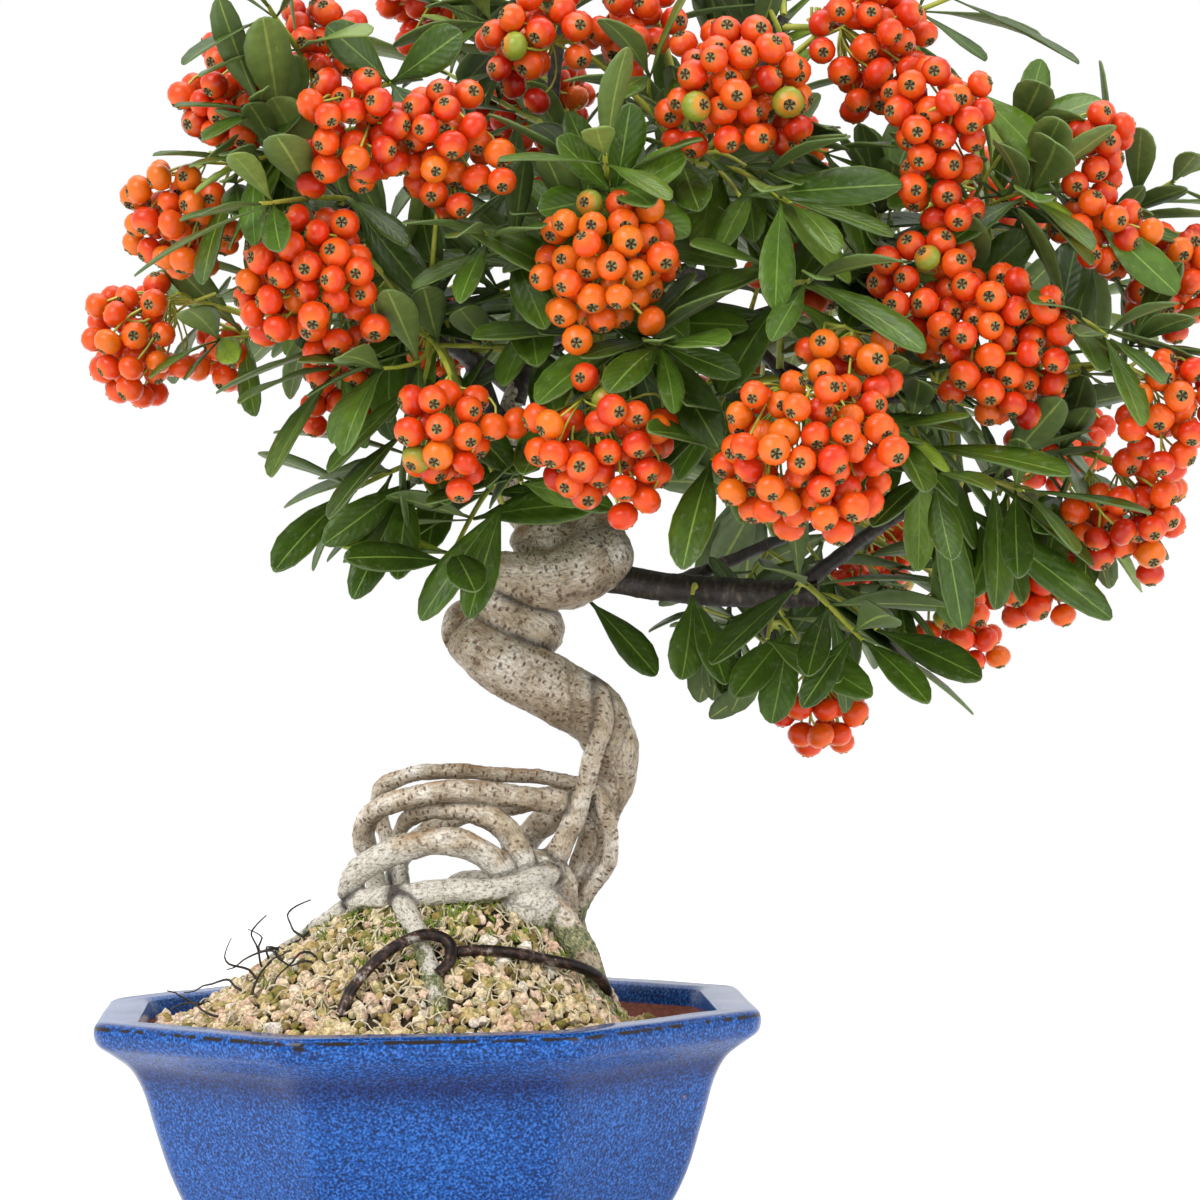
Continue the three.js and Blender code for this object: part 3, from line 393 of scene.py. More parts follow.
# Ripe firethorn berry: thin waxy skin over mealy flesh, orange-red, lighter round the calyx.
def makeBerrySkin():
    material, tree, place = newMaterial("berrySkin", {
        "Roughness": 0.3, "Specular IOR Level": 0.3, "Coat Weight": 0.12, "Coat Roughness": 0.12,
    })
    flat = addNode(tree, "TexCoord")["UV"]
    uv = addNode(tree, "SeparateXYZ", inputs={"Vector": flat})
    tone = addNode(tree, "Attribute", {"attribute_name": "tone"})
    ripe = addNode(tree, "ValToRGB", inputs={"Fac": tone["Fac"]}, stops=[
        (0.0, "#7C9430"), (0.12, "#A08A2A"), (0.2, "#D66A0E"), (0.45, "#DA4C0A"), (0.7, "#CE3206"),
        (1.0, "#A61804"),
    ])
    mottle = addNode(tree, "TexNoise", inputs={"Vector": place, "Scale": 330, "Detail": 3})
    shade = addNode(tree, "ValToRGB", inputs={"Fac": mottle["Fac"]}, stops=[(0.3, 0.84), (0.7, 1.12)])
    mottled = addNode(tree, "Mix", multiplied, {0: 1.0, 6: ripe["Color"], 7: shade["Color"]})
    crown = addNode(tree, "MapRange",
                    inputs={"Value": uv["Y"], "From Min": 0.66, "From Max": 0.84, "To Max": 0.6})
    crowned = addNode(tree, "Mix", covered, {0: crown["Result"], 6: mottled[2], 7: srgb("#E87024")})
    return finishMaterial(material, crowned[2])


# Small dull things, mottled between two colours.
def makePlain(name, colours, roughness):
    material, tree, place = newMaterial(name, {"Roughness": roughness})
    mottle = addNode(tree, "TexNoise", inputs={"Vector": place, "Scale": 900, "Detail": 3})
    ramp = addNode(tree, "ValToRGB", inputs={"Fac": mottle["Fac"]}, stops=list(zip((0.3, 0.7), colours)))
    return finishMaterial(material, ramp["Color"])


# Baked clay and pumice grains: dry and rough, cream to pinkish tan, some ochre and some dark.
def makeGrain():
    material, tree, place = newMaterial("soilGrain", {"Roughness": 0.9})
    tone = addNode(tree, "Attribute", {"attribute_name": "tone"})
    colour = addNode(tree, "ValToRGB", inputs={"Fac": tone["Fac"]}, stops=[
        (0.0, "#5E5024"), (0.1, "#9A8648"), (0.24, "#C8AE74"), (0.42, "#E2CA98"), (0.6, "#F0DCB8"),
        (0.76, "#F0D2B6"), (0.88, "#E6BCA0"), (1.0, "#FBF5E6"),
    ])
    fine = addNode(tree, "TexNoise", inputs={"Vector": place, "Scale": 1100, "Detail": 5, "Roughness": 0.7})
    shade = addNode(tree, "ValToRGB", inputs={"Fac": fine["Fac"]}, stops=[(0.34, 0.4), (0.58, 1.12)])
    mottled = addNode(tree, "Mix", multiplied, {0: 1.0, 6: colour["Color"], 7: shade["Color"]})
    algae = addNode(tree, "TexNoise", inputs={"Vector": place, "Scale": 300, "Detail": 5, "Roughness": 0.7})
    algaeMask = addNode(tree, "ValToRGB", inputs={"Fac": algae["Fac"]}, stops=[(0.52, 0.0), (0.62, 0.62)])
    greened = addNode(tree, "Mix", covered, {0: algaeMask["Color"], 6: mottled[2], 7: srgb("#6E7A1E")})
    return finishMaterial(material, greened[2], fine["Fac"], 0.6, 0.0006)


# Oxidised copper tie wire: dark brown metal with a chalky bloom.
def makeCopper():
    material, tree, place = newMaterial("oxidisedCopper", {"Metallic": 0.55, "Roughness": 0.42})
    patches = addNode(tree, "TexNoise", inputs={"Vector": place, "Scale": 240, "Detail": 6, "Roughness": 0.7})
    colour = addNode(tree, "ValToRGB", inputs={"Fac": patches["Fac"]},
                     stops=[(0.35, "#110E0D"), (0.5, "#241B18"), (0.58, "#4E382E"), (0.66, "#A7A39C")])
    return finishMaterial(material, colour["Color"], patches["Fac"], 0.3, 0.0004)


glaze = makeGlaze()
terracotta = makeTerracotta()
bark = makeBark()
darkBark = makeDarkBark()
leafTop = makeLeafTop()
leafUnder = makeLeafUnder()
stalkGreen = makeStalk()
berrySkin = makeBerrySkin()
sepal = makePlain("drySepal", ("#4E4826", "#8C8652"), 0.8)
calyxHeart = makePlain("calyxHeart", ("#24140C", "#5C3A1C"), 0.9)
grainStone = makeGrain()
mossGreen = makePlain("mossCushion", ("#34501A", "#98AA34"), 0.9)
rootlet = makePlain("fineRoot", ("#9A8A68", "#E8DEC0"), 0.8)
# painted shade: the earth under the grains is near black, so the gaps between them read as shade
earthAndGapShade = makePlain("earthAndGapShade", ("#1A140B", "#40341E"), 0.95)
oxidisedCopper = makeCopper()
print("materials made")


# Shapes that follow a path

# A smooth path through stations [x, y, z, radius], evenly eased from each to the next.
def pathThrough(stations, perSpan=8):
    stations = np.array(stations, float)
    points = stations[:, :3]
    padded = np.vstack([2 * points[0] - points[1], points, 2 * points[-1] - points[-2]])
    path = []
    for i in range(len(points) - 1):
        p0, p1, p2, p3 = padded[i:i + 4]
        d0, d1, d2 = (np.sum((b - a) ** 2) ** 0.25 for a, b in ((p0, p1), (p1, p2), (p2, p3)))
        t1 = ((p1 - p0) / d0 - (p2 - p0) / (d0 + d1) + (p2 - p1) / d1) * d1
        t2 = ((p2 - p1) / d1 - (p3 - p1) / (d1 + d2) + (p3 - p2) / d2) * d1
        square, cube = 3 * p2 - 3 * p1 - 2 * t1 - t2, 2 * p1 - 2 * p2 + t1 + t2
        for k in range(perSpan + (i == len(points) - 2)):
            t = k / perSpan
            place = p1 + t1 * t + square * t ** 2 + cube * t ** 3
            path.append([*place, *(stations[i, 3:] * (1 - t) + stations[i + 1, 3:] * t)])
    return np.array(path)


# Round rods along paths [x, y, z, radius], turned from curves into one mesh.
def makeRods(name, paths, resolution=1, material=None):
    rods = bpy.data.curves.new(name, "CURVE")
    rods.dimensions = "3D"
    rods.bevel_depth = mm
    rods.bevel_resolution = resolution
    rods.use_fill_caps = True
    for path in paths:
        spline = rods.splines.new("POLY")
        spline.points.add(len(path) - 1)
        for point, (x, y, z, radius) in zip(spline.points, path):
            point.co = (*at(x, y, z), 1)
            point.radius = radius
    piece = bpy.data.objects.new(name, rods)
    bpy.context.collection.objects.link(piece)
    choose(piece)
    bpy.ops.object.convert(target="MESH")
    piece = bpy.context.object
    bpy.ops.object.shade_smooth()
    if material:
        piece.data.materials.append(material)
    return piece


def unit(vector):
    return vector / (np.linalg.norm(vector) + 1e-12)


# How far along its line each point lies.
def runsAlong(points):
    return np.concatenate([[0], np.cumsum(np.linalg.norm(np.diff(points, axis=0), axis=1))])


def pointAt(run, runs, points):
    return np.array([np.interp(run, runs, points[:, axis]) for axis in range(3)])


# Where each point lies along the nearest limb: how far along it, and its offset from the limb's middle.
def limbPlaces(points, paths):
    middles = np.vstack([path[:, :3] for path in paths])
    tangents = np.vstack([np.gradient(path[:, :3], axis=0) for path in paths])
    tangents /= np.linalg.norm(tangents, axis=1)[:, None] + 1e-9
    # each limb starts 37 mm further along, so that no two have the same flecks
    along = np.concatenate([runsAlong(path[:, :3]) + 37.0 * number for number, path in enumerate(paths)])
    tree = kdtree.KDTree(len(middles))
    for index, middle in enumerate(middles):
        tree.insert(middle, index)
    tree.balance()
    nearest = np.array([tree.find(point)[1] for point in points])
    offset = points - middles[nearest]
    forward = np.sum(offset * tangents[nearest], axis=1)
    across = offset - forward[:, None] * tangents[nearest]
    aside = np.cross(tangents[nearest], [0.36, 0.48, 0.8])
    aside /= np.linalg.norm(aside, axis=1)[:, None] + 1e-9
    other = np.cross(tangents[nearest], aside)
    sideways = [np.sum(across * way, axis=1) for way in (aside, other)]
    return np.stack([along[nearest] + forward, *sideways], axis=1)


# How far each point is from the skin of each limb, in millimetres.
def depthsFrom(points, paths):
    depths = []
    for path in paths:
        best = np.full(len(points), 1e9)
        for x, y, z, radius in path:
            best = np.minimum(best, np.linalg.norm(points - (x, y, z), axis=1) - radius)
        depths.append(best)
    return np.array(depths)


def storeLimbPlaces(mesh, paths):
    attribute = mesh.attributes.new("limbPlace", "FLOAT_VECTOR", "POINT")
    places = limbPlaces(benchCoords(mesh), paths) * mm
    attribute.data.foreach_set("vector", places.astype(np.float32).ravel())


# Wood: the trunk folds over itself in two coils and stands on a cage of bare roots.
coils = {
    "base": [
        [34, 1, 79, 4.2], [37, 3, 91, 4], [42, 2, 104, 4.4], [44, 1, 113, 4.8], [47, 0, 121, 5.6],
        [46, -3, 130, 7], [42, -5, 137, 8], [34, -7, 142, 8.3], [25, -8, 147, 8.2], [16, -7, 152, 7.4],
        [11, -3, 157, 6.2],
    ],
    "back": [[11, -2, 156, 6], [12, 5, 160, 6], [20, 9, 161, 6.4], [28, 6, 159, 6.8], [29, 0, 158, 6.6]],
    "middle": [[30, 1, 157, 6.4], [27, -4, 158, 6.8], [21, -5, 162, 6.3], [15, -4, 167, 6]],
    "upper": [[14, -3, 169, 5.6], [19, -5, 171, 6.4], [28, -7, 170, 7.2], [37, -7, 171, 8], [44, -5, 175, 8.1]],
    "turn": [
        [44, -2, 177, 8], [43, 4, 183, 6.8], [36, 7, 186, 5.6], [28, 5, 185, 4.6], [23, 3, 190, 3.8],
        [21, 1, 199, 3.2], [22, 1, 210, 2.9], [26, 2, 222, 2.5],
    ],
}
roots = {
    "strap": [
        [39, -6, 145, 2.2], [43, -11, 142, 2.5], [44, -13, 135, 2.5], [41, -11, 126, 2.5], [39, -9, 118, 2.5],
        [36, -8, 110, 2.7], [33, -8, 104, 3.1], [29, -8, 97, 3.5], [27, -8, 90, 3.4],
    ],
    "thin": [
        [40, -4, 121, 1.8], [44, -6, 114, 2], [46, -6, 106, 2.1], [45, -4, 100, 2.1], [41, -2, 94, 2],
        [36, -1, 86, 2],
    ],
    "behind": [[42, 2, 118, 3.6], [33, 7, 112, 3.7], [26, 9, 106, 3.6], [22, 7, 98, 3.4], [20, 5, 90, 3.4]],
    "hoopTop": [
        [43, 0, 118, 2.6], [30, 3, 121, 2.1], [19, 6, 122, 2], [7, 8, 123, 2], [-4, 10, 122, 2.1],
        [-10, 13, 119, 2.3], [-11, 15, 112, 2.3], [-8, 13, 103, 2.2], [-5, 9, 91, 2.2],
    ],
    "hoopFront": [
        [38, -5, 115, 3.2], [29, -9, 116, 3.2], [18, -11, 118, 2.8], [6, -11, 119, 2.7], [-5, -9, 117, 2.8],
        [-12, -3, 114, 2.8], [-15, 4, 108, 2.8], [-13, 6, 100, 2.7], [-11, 4, 89, 2.7],
    ],
    "hoopLow": [
        [-5, 2, 91, 1.9], [-6, 1, 103, 1.8], [-6, -1, 109, 1.9], [-2, -5, 113, 2.3], [6, -8, 114, 2.4],
        [14, -11, 113, 2.9], [20, -12, 109, 3.4], [23, -13, 102, 3.4], [25, -12, 94, 3.2],
    ],
    "arch": [
        [-19, -7, 93, 3], [-17, -11, 99, 3.3], [-11, -14, 103, 3.5], [-3, -16, 106, 3.5], [5, -17, 107, 3.5],
        [12, -17, 105, 3.5], [18, -16, 100, 3.4], [21, -15, 92, 3.2],
    ],
    "ledge": [
        [-18, -8, 92, 3], [-13, -14, 93, 3], [-5, -19, 94, 3.1], [4, -21, 95, 3.1], [13, -21, 95, 3.1],
        [20, -19, 96, 2.5], [27, -16, 98, 2.2], [31, -12, 98, 2.4],
    ],
    "knee": [[24, -7, 101, 3], [29, -9, 100, 3.8], [33, -8, 96, 3.8], [34, -6, 89, 3.4], [33, -5, 83, 3.2]],
    "buttress": [[28, -11, 92, 4], [33, -15, 87, 4], [38, -19, 79, 3.8], [41, -21, 71, 3.3], [43, -23, 62, 3]],
    "runner": [
        [-7, -18, 94, 2.6], [-5, -24, 90.5, 2.6], [-2, -31, 85, 2.6], [0, -40, 77.5, 2.6], [2, -49, 69.5, 2.5],
        [2, -54, 64, 2.3],
    ],
    "rearHoop": [
        [42, 3, 115, 2.8], [33, 13, 116, 2.7], [24, 19, 114, 2.7], [12, 21, 112, 2.7], [2, 19, 108, 2.8],
        [-6, 15, 101, 2.8], [-9, 12, 89, 2.8],
    ],
    "rearButtress": [[34, 2, 92, 3.6], [36, 9, 87, 3.6], [38, 17, 79, 3.4], [39, 24, 70, 3], [40, 29, 60, 2.8]],
    "rearRunner": [
        [19, 6, 95, 3.2], [9, 15, 94, 3.1], [4, 23, 88, 2.9], [0, 32, 81, 2.7], [-3, 41, 73, 2.5],
        [-5, 48, 63, 2.3],
    ],
    "leftRunner": [[-15, -4, 92, 3], [-22, -2, 88, 2.8], [-30, 2, 82, 2.5], [-38, 6, 76, 2.3], [-46, 8, 68, 2]],
}
branches = {
    "left": [
        [21, 1, 203, 2.9], [15, -5, 220, 2.4], [8, -10, 234, 2.1], [-4, -18, 248, 1.9], [-18, -23, 262, 1.6],
        [-30, -27, 274, 1.3],
    ],
    "leftLow": [[22, 0, 210, 2.2], [5, 0, 219, 1.7], [-12, 5, 227, 1.5], [-31, 10, 232, 1.2]],
    "up": [
        [24, 1, 214, 2.7], [28, 2, 230, 2.4], [32, 2, 252, 2.1], [34, 0, 274, 1.8], [35, -2, 296, 1.5],
        [38, -3, 312, 1.2],
    ],
    "upRight": [
        [24, 2, 217, 2.7], [38, 4, 232, 2.3], [56, 5, 249, 2.1], [71, 4, 269, 1.8], [84, 1, 291, 1.6],
        [92, 0, 309, 1.3],
    ],
    "right": [
        [37, 4, 230, 2.2], [55, -3, 227, 2.1], [74, -10, 231, 1.9], [96, -16, 238, 1.7], [118, -19, 244, 1.5],
        [138, -21, 249, 1.3], [154, -20, 253, 1.2],
    ],
    "lowRight": [
        [40, 0, 172, 3.8], [54, -3, 169, 3.8], [68, -8, 167, 3.8], [83, -11, 166, 3.7], [97, -14, 166, 3.5],
    ],
    "lowTip": [
        [92, -12, 167, 2.3], [101, -16, 174, 1.9], [112, -20, 182, 1.7], [123, -25, 188, 1.5],
        [138, -28, 193, 1.4], [153, -29, 199, 1.2],
    ],
    "lowStub": [[83, -10, 165, 1.9], [85, -9, 157, 1.6], [87, -8, 151, 1.4]],
    "rightMid": [
        [70, -8, 230, 1.8], [87, -25, 221, 1.7], [105, -36, 213, 1.5], [126, -41, 213, 1.4],
        [146, -43, 217, 1.2],
    ],
    "rear": [[26, 3, 225, 2.1], [32, 22, 239, 1.9], [42, 38, 253, 1.7], [56, 50, 262, 1.4]],
    "rearLeft": [[24, 1, 217, 2.1], [6, 20, 234, 1.6], [-3, 34, 248, 1.4], [-12, 44, 258, 1.2]],
    "rearRight": [[55, 6, 248, 1.9], [78, 26, 246, 1.7], [100, 40, 243, 1.5], [120, 48, 243, 1.3]],
    "rearLow": [[60, -5, 168, 2.1], [72, 12, 172, 1.8], [88, 30, 178, 1.5], [104, 40, 184, 1.2]],
    "front": [[28, 1, 229, 2], [37, -20, 230, 1.7], [43, -38, 234, 1.4]],
    "frontUp": [[58, 4, 251, 1.8], [62, -18, 262, 1.5], [67, -36, 269, 1.2]],
    "frontRight": [[76, -11, 231, 1.8], [84, -33, 222, 1.5], [88, -52, 213, 1.3]],
    "frontLeft": [[13, -7, 224, 2], [8, -26, 226, 1.5], [2, -42, 228, 1.2]],
}
knobs = {
    "root": [[25.5, -15, 90], [8.2, 6, 6]], "bulge": [[44, -3, 176], [8.6, 8.4, 8.6]],
    "fold": [[31, 1, 180], [9, 6, 5.5]],
}
trunkFinish = {
    "voxel": 0.65, "smoothing": 2, "lumpSize": 9, "lumps": 1.3, "gritSize": 1.6, "grit": 0.45, "pinch": 1.5,
    "skin": 1.5, "jointReach": 6, "jointFade": 4, "creaseShade": 0.95,
}
branchFinish = {"lumpSize": 4, "lumps": 0.8, "gritSize": 1.2, "grit": 0.3}


def displaceBy(piece, name, size, strength, detail=2):
    clouds = bpy.data.textures.new(name, "CLOUDS")
    clouds.noise_scale = size * mm
    clouds.noise_depth = detail
    applyModifier(
        piece, "DISPLACE", texture=clouds, texture_coords="LOCAL", strength=strength * mm, mid_level=0.5
    )
    bpy.data.textures.remove(clouds)


def makeTrunk():
    finish = trunkFinish
    limbs = [pathThrough(path) for path in [*coils.values(), *roots.values()]]
    parts = [makeRods("trunkRods", limbs, resolution=4)]
    for (x, y, z), reach in knobs.values():
        bpy.ops.mesh.primitive_ico_sphere_add(subdivisions=3, radius=mm, location=at(x, y, z), scale=reach)
        parts.append(bpy.context.object)
    trunk = joinPieces("trunkWood", parts)
    bpy.ops.object.transform_apply(location=True, rotation=True, scale=True)
    applyModifier(trunk, "REMESH", mode="VOXEL", voxel_size=finish["voxel"] * mm)
    applyModifier(trunk, "SMOOTH", factor=0.5, iterations=finish["smoothing"])
    displaceBy(trunk, "woodLumps", finish["lumpSize"], finish["lumps"])
    displaceBy(trunk, "woodGrit", finish["gritSize"], finish["grit"])
    choose(trunk)
    bpy.ops.object.shade_smooth()
    trunk.data.materials.clear()
    trunk.data.materials.append(bark)
    storeLimbPlaces(trunk.data, limbs)
    points = benchCoords(trunk.data)
    depths = np.sort(depthsFrom(points, limbs), axis=0)
    # painted shade: where one limb presses on another, the crease is darkened
    pinched = np.clip(1 - depths[1] / finish["pinch"], 0, 1) * np.clip(1 - depths[0] / finish["skin"], 0, 1)
    # where one coil goes on as the next there is no crease and no painted crease shade
    joints = np.array([path[0][:3] for path in list(coils.values())[1:]])
    joined = np.min(np.linalg.norm(points[:, None] - joints[None], axis=2), axis=1)
    pinched *= np.clip((joined - finish["jointReach"]) / finish["jointFade"], 0, 1)
    storeFloats(trunk.data, "creaseShade", finish["creaseShade"] * pinched)
    storeFloats(trunk.data, "upness", [vertex.normal.z for vertex in trunk.data.vertices])
    return settle(trunk, "bark", "trunk")


def makeBranches():
    paths = [pathThrough(path, perSpan=12) for path in branches.values()]
    wood = makeRods("branchWood", paths, resolution=3, material=darkBark)
    displaceBy(wood, "branchLumps", branchFinish["lumpSize"], branchFinish["lumps"])
    displaceBy(wood, "branchGrit", branchFinish["gritSize"], branchFinish["grit"])
    storeLimbPlaces(wood.data, paths)
    return settle(wood, "bark", "trunk")


makeTrunk()
makeBranches()
print("wood grown")


# Pot: an octagon with rounded corners. Profiles are [inset from the rim's flat, depth below the rim].
potShape = {
    "rimHalf": 80, "height": 66, "rounding": 0.12, "cornerSteps": 6, "flatCuts": 20,
    "underside": [[73, 60], [44.5, 60.8], [43.6, 65], [43, 66], [36, 66], [35.4, 65]],
    "outside": [
        [34, 60], [23.6, 50], [18, 39.5], [14, 27], [11, 16.5], [8.2, 11.5], [3.9, 8], [0.8, 5.6], [0, 3.6],
        [0, 2], [0.5, 0.6], [1.6, 0],
    ],
    "top": [[5.5, 0.15], [9, 0], [10.2, 0.7], [10.7, 2.4]],
    "inside": [[11, 5], [17.5, 9], [23, 35], [31, 54], [73, 54]],
    "footGap": [30, 30, 7], "footMiddle": 40.5, "glazedInside": 6.3,
    "nicks": [[-31, -80, 64, 1.0], [-28.5, -80, 63.7, 0.9], [64, -73, 60, 0.9], [50, 62, 65, 1.6]],
    "drip": {"x": -33, "top": 59, "bottom": 52, "width": 3, "swell": 0.8},
}


def makePot():
    shape = potShape
    outside = pathThrough([[*place, 0] for place in shape["outside"]], perSpan=4)[:, :2]
    profile = [*shape["underside"], *outside, *shape["top"], *shape["inside"]]
    half, depth = shape["rimHalf"] - profile[0][0], profile[0][1]
    corner = half / math.cos(math.pi / 8)
    clearSelection()
    bpy.ops.mesh.primitive_circle_add(
        vertices=8, radius=corner * mm, fill_type="NGON", location=at(0, 0, shape["height"] - depth),
        rotation=(0, 0, math.pi / 8),
    )
    pot = bpy.context.object
    bpy.ops.object.transform_apply(location=True, rotation=True, scale=True)
    bpy.ops.object.mode_set(mode="EDIT")
    bpy.ops.mesh.select_all(action="SELECT")
    reach = half * shape["rounding"] * math.tan(math.pi / 8) * mm
    bpy.ops.mesh.bevel(offset=reach, offset_type="OFFSET", segments=shape["cornerSteps"], affect="VERTICES")
    bpy.ops.mesh.delete(type="ONLY_FACE")
    bpy.ops.mesh.select_all(action="DESELECT")
    bpy.ops.mesh.select_mode(type="EDGE")
    ring = bmesh.from_edit_mesh(pot.data)
    for edge in ring.edges:
        edge.select = edge.calc_length() > 3 * reach
    ring.select_flush_mode()
    bmesh.update_edit_mesh(pot.data)
    bpy.ops.mesh.subdivide(number_cuts=shape["flatCuts"])
    bpy.ops.mesh.select_all(action="SELECT")
    for inset, below in [*profile[1:], profile[0]]:
        newHalf = shape["rimHalf"] - inset
        bpy.ops.mesh.extrude_region_move(TRANSFORM_OT_translate={"value": (0, 0, (depth - below) * mm)})
        middle = at(0, 0, shape["height"] - below)
        bpy.ops.transform.resize(value=(newHalf / half, newHalf / half, 1), center_override=middle)
        half, depth = newHalf, below
    bpy.ops.mesh.select_all(action="SELECT")
    bpy.ops.mesh.remove_doubles(threshold=0.00002)
    bpy.ops.mesh.normals_make_consistent(inside=False)
    bpy.ops.object.mode_set(mode="OBJECT")
    pot.name = pot.data.name = "glazedPot"
    for side in range(4):
        turn = side * math.pi / 2
        middle = at(shape["footMiddle"] * math.sin(turn), shape["footMiddle"] * math.cos(turn), 0)
        clearSelection()
        bpy.ops.mesh.primitive_cube_add(
            size=mm, location=middle, rotation=(0, 0, -turn), scale=shape["footGap"]
        )
        cutter = bpy.context.object
        applyModifier(pot, "BOOLEAN", operation="DIFFERENCE", object=cutter, solver="EXACT")
        bpy.data.objects.remove(cutter)
    displaceBy(pot, "glazeRipple", 26, 0.5, detail=1)
    pot.data.materials.append(glaze)
    pot.data.materials.append(terracotta)
    finishPot(pot)
    return settle(pot, "glaze", "pot")


# Depths are below the rim and insets are from the rim's flat, as in the profiles.
glazeFinish = {
    "wearDepth": 1.2, "wearSpread": 0.5, "wearInset": 2.4, "nickWear": 1.1, "lipShade": 0.9, "lipShadeDepth": 12.5,
    "lipShadeSpread": 4, "inwardSlope": 0.2, "floorDepth": 50, "underDepth": 59.6, "underInset": 36,
    "smoothAngle": 40,
}


# One run of glaze hangs below the lip, and the unglazed clay shows inside and underneath.
def finishPot(pot):
    drip, finish = potShape["drip"], glazeFinish
    coords = benchCoords(pot.data)
    down = (drip["top"] - coords[:, 2]) / (drip["top"] - drip["bottom"])
    across = (coords[:, 0] - drip["x"]) / drip["width"]
    mask = np.exp(-across ** 2) * np.clip(1.4 - np.abs(2 * down - 1.2), 0, 1) * (coords[:, 1] < -30)
    coords[:, 1] -= drip["swell"] * mask
    coords[:, 2] = np.maximum(coords[:, 2], 0)
    setBenchCoords(pot.data, coords)
    sides = [side * math.pi / 4 for side in range(8)]
    radial = np.max([coords[:, 0] * math.cos(side) + coords[:, 1] * math.sin(side) for side in sides], axis=0)
    inset = potShape["rimHalf"] - radial
    below = potShape["height"] - coords[:, 2]
    wear = np.exp(-((below - finish["wearDepth"]) / finish["wearSpread"]) ** 2) * (inset < finish["wearInset"])
    for x, y, z, reach in potShape["nicks"]:
        near = np.exp(-np.sum((coords - (x, y, z)) ** 2, axis=1) / reach ** 2)
        wear = np.maximum(wear, finish["nickWear"] * near)
    storeFloats(pot.data, "wear", wear)
    # painted shade: a darker band in the hollow under the lip
    lipShade = np.exp(-((below - finish["lipShadeDepth"]) / finish["lipShadeSpread"]) ** 2)
    storeFloats(pot.data, "lipShade", finish["lipShade"] * lipShade)
    for face in pot.data.polygons:
        places = [int(i) for i in face.vertices]
        middle, normal = face.center - potMiddle, face.normal
        slope = -finish["inwardSlope"] * math.hypot(middle.x, middle.y)
        facesIn = middle.x * normal.x + middle.y * normal.y < slope
        isInside = facesIn and np.mean(below[places]) > potShape["glazedInside"]
        isFloor = normal.z > 0.9 and np.mean(below[places]) > finish["floorDepth"]
        isLow = np.mean(below[places]) > finish["underDepth"]
        isUnder = isLow or np.mean(inset[places]) > finish["underInset"]
        face.material_index = int(isInside or isFloor or isUnder)
        face.use_smooth = True
    choose(pot)
    bpy.ops.object.shade_smooth_by_angle(angle=math.radians(finish["smoothAngle"]))


makePot()
print("pot thrown")


# Soil: a grainy mound that fills the pot and rises under the roots.
mound = {
    "x": 5, "y": 0, "top": 91, "level": 61, "plateau": 22, "left": 68, "right": 46, "front": 66, "back": 60,
    "dip": 4, "dipFrom": 43, "dipRun": 9,
}
soilShape = {
    "around": 96, "rings": 26, "edge": 68.4, "rounding": 0.12, "middle": 58, "thickness": 6, "topOver": 60.5,
    "walls": [[17.8, 9], [23.3, 35], [31.3, 53.6]],  # as in the pot's profiles
    "underGrains": 1.2, "rimShare": 0.97, "rimHeight": 59.5, "lumpSize": 5, "lumps": 1.6,
}


# On the right the soil lies lower, and the bare clay of the pot's wall shows over it.
def dipAt(x):
    return mound["dip"] * np.clip((x - mound["dipFrom"]) / mound["dipRun"], 0, 1)


def moundHeight(x, y):
    dx, dy = x - mound["x"], y - mound["y"]
    distance = np.hypot(dx, dy) + 1e-6
    reachX = np.where(dx > 0, mound["right"], mound["left"])
    reachY = np.where(dy > 0, mound["back"], mound["front"])
    reach = np.hypot(dx / distance * reachX, dy / distance * reachY)
    fall = np.clip((distance - mound["plateau"]) / (reach - mound["plateau"]), 0, 1)
    crest = 1 - np.minimum(distance / mound["plateau"], 1) ** 2
    return mound["level"] + (mound["top"] - mound["level"]) * (1 - fall) ** 1.1 + 2 * crest - dipAt(x)


# How far the octagon with rounded corners reaches from its middle, for a half width of 1.
def octagonReach(angle):
    folded = (angle + math.pi / 8) % (math.pi / 4) - math.pi / 8
    rounding = soilShape["rounding"]
    centre = (1 - rounding) / math.cos(math.pi / 8)
    flat = 1 / np.cos(folded)
    off = math.pi / 8 - np.abs(folded)
    inner = centre * np.cos(off) + np.sqrt(np.maximum(rounding ** 2 - (centre * np.sin(off)) ** 2, 0))
    return np.where(flat * np.cos(off) > centre + rounding * math.cos(math.pi / 8), inner, flat)


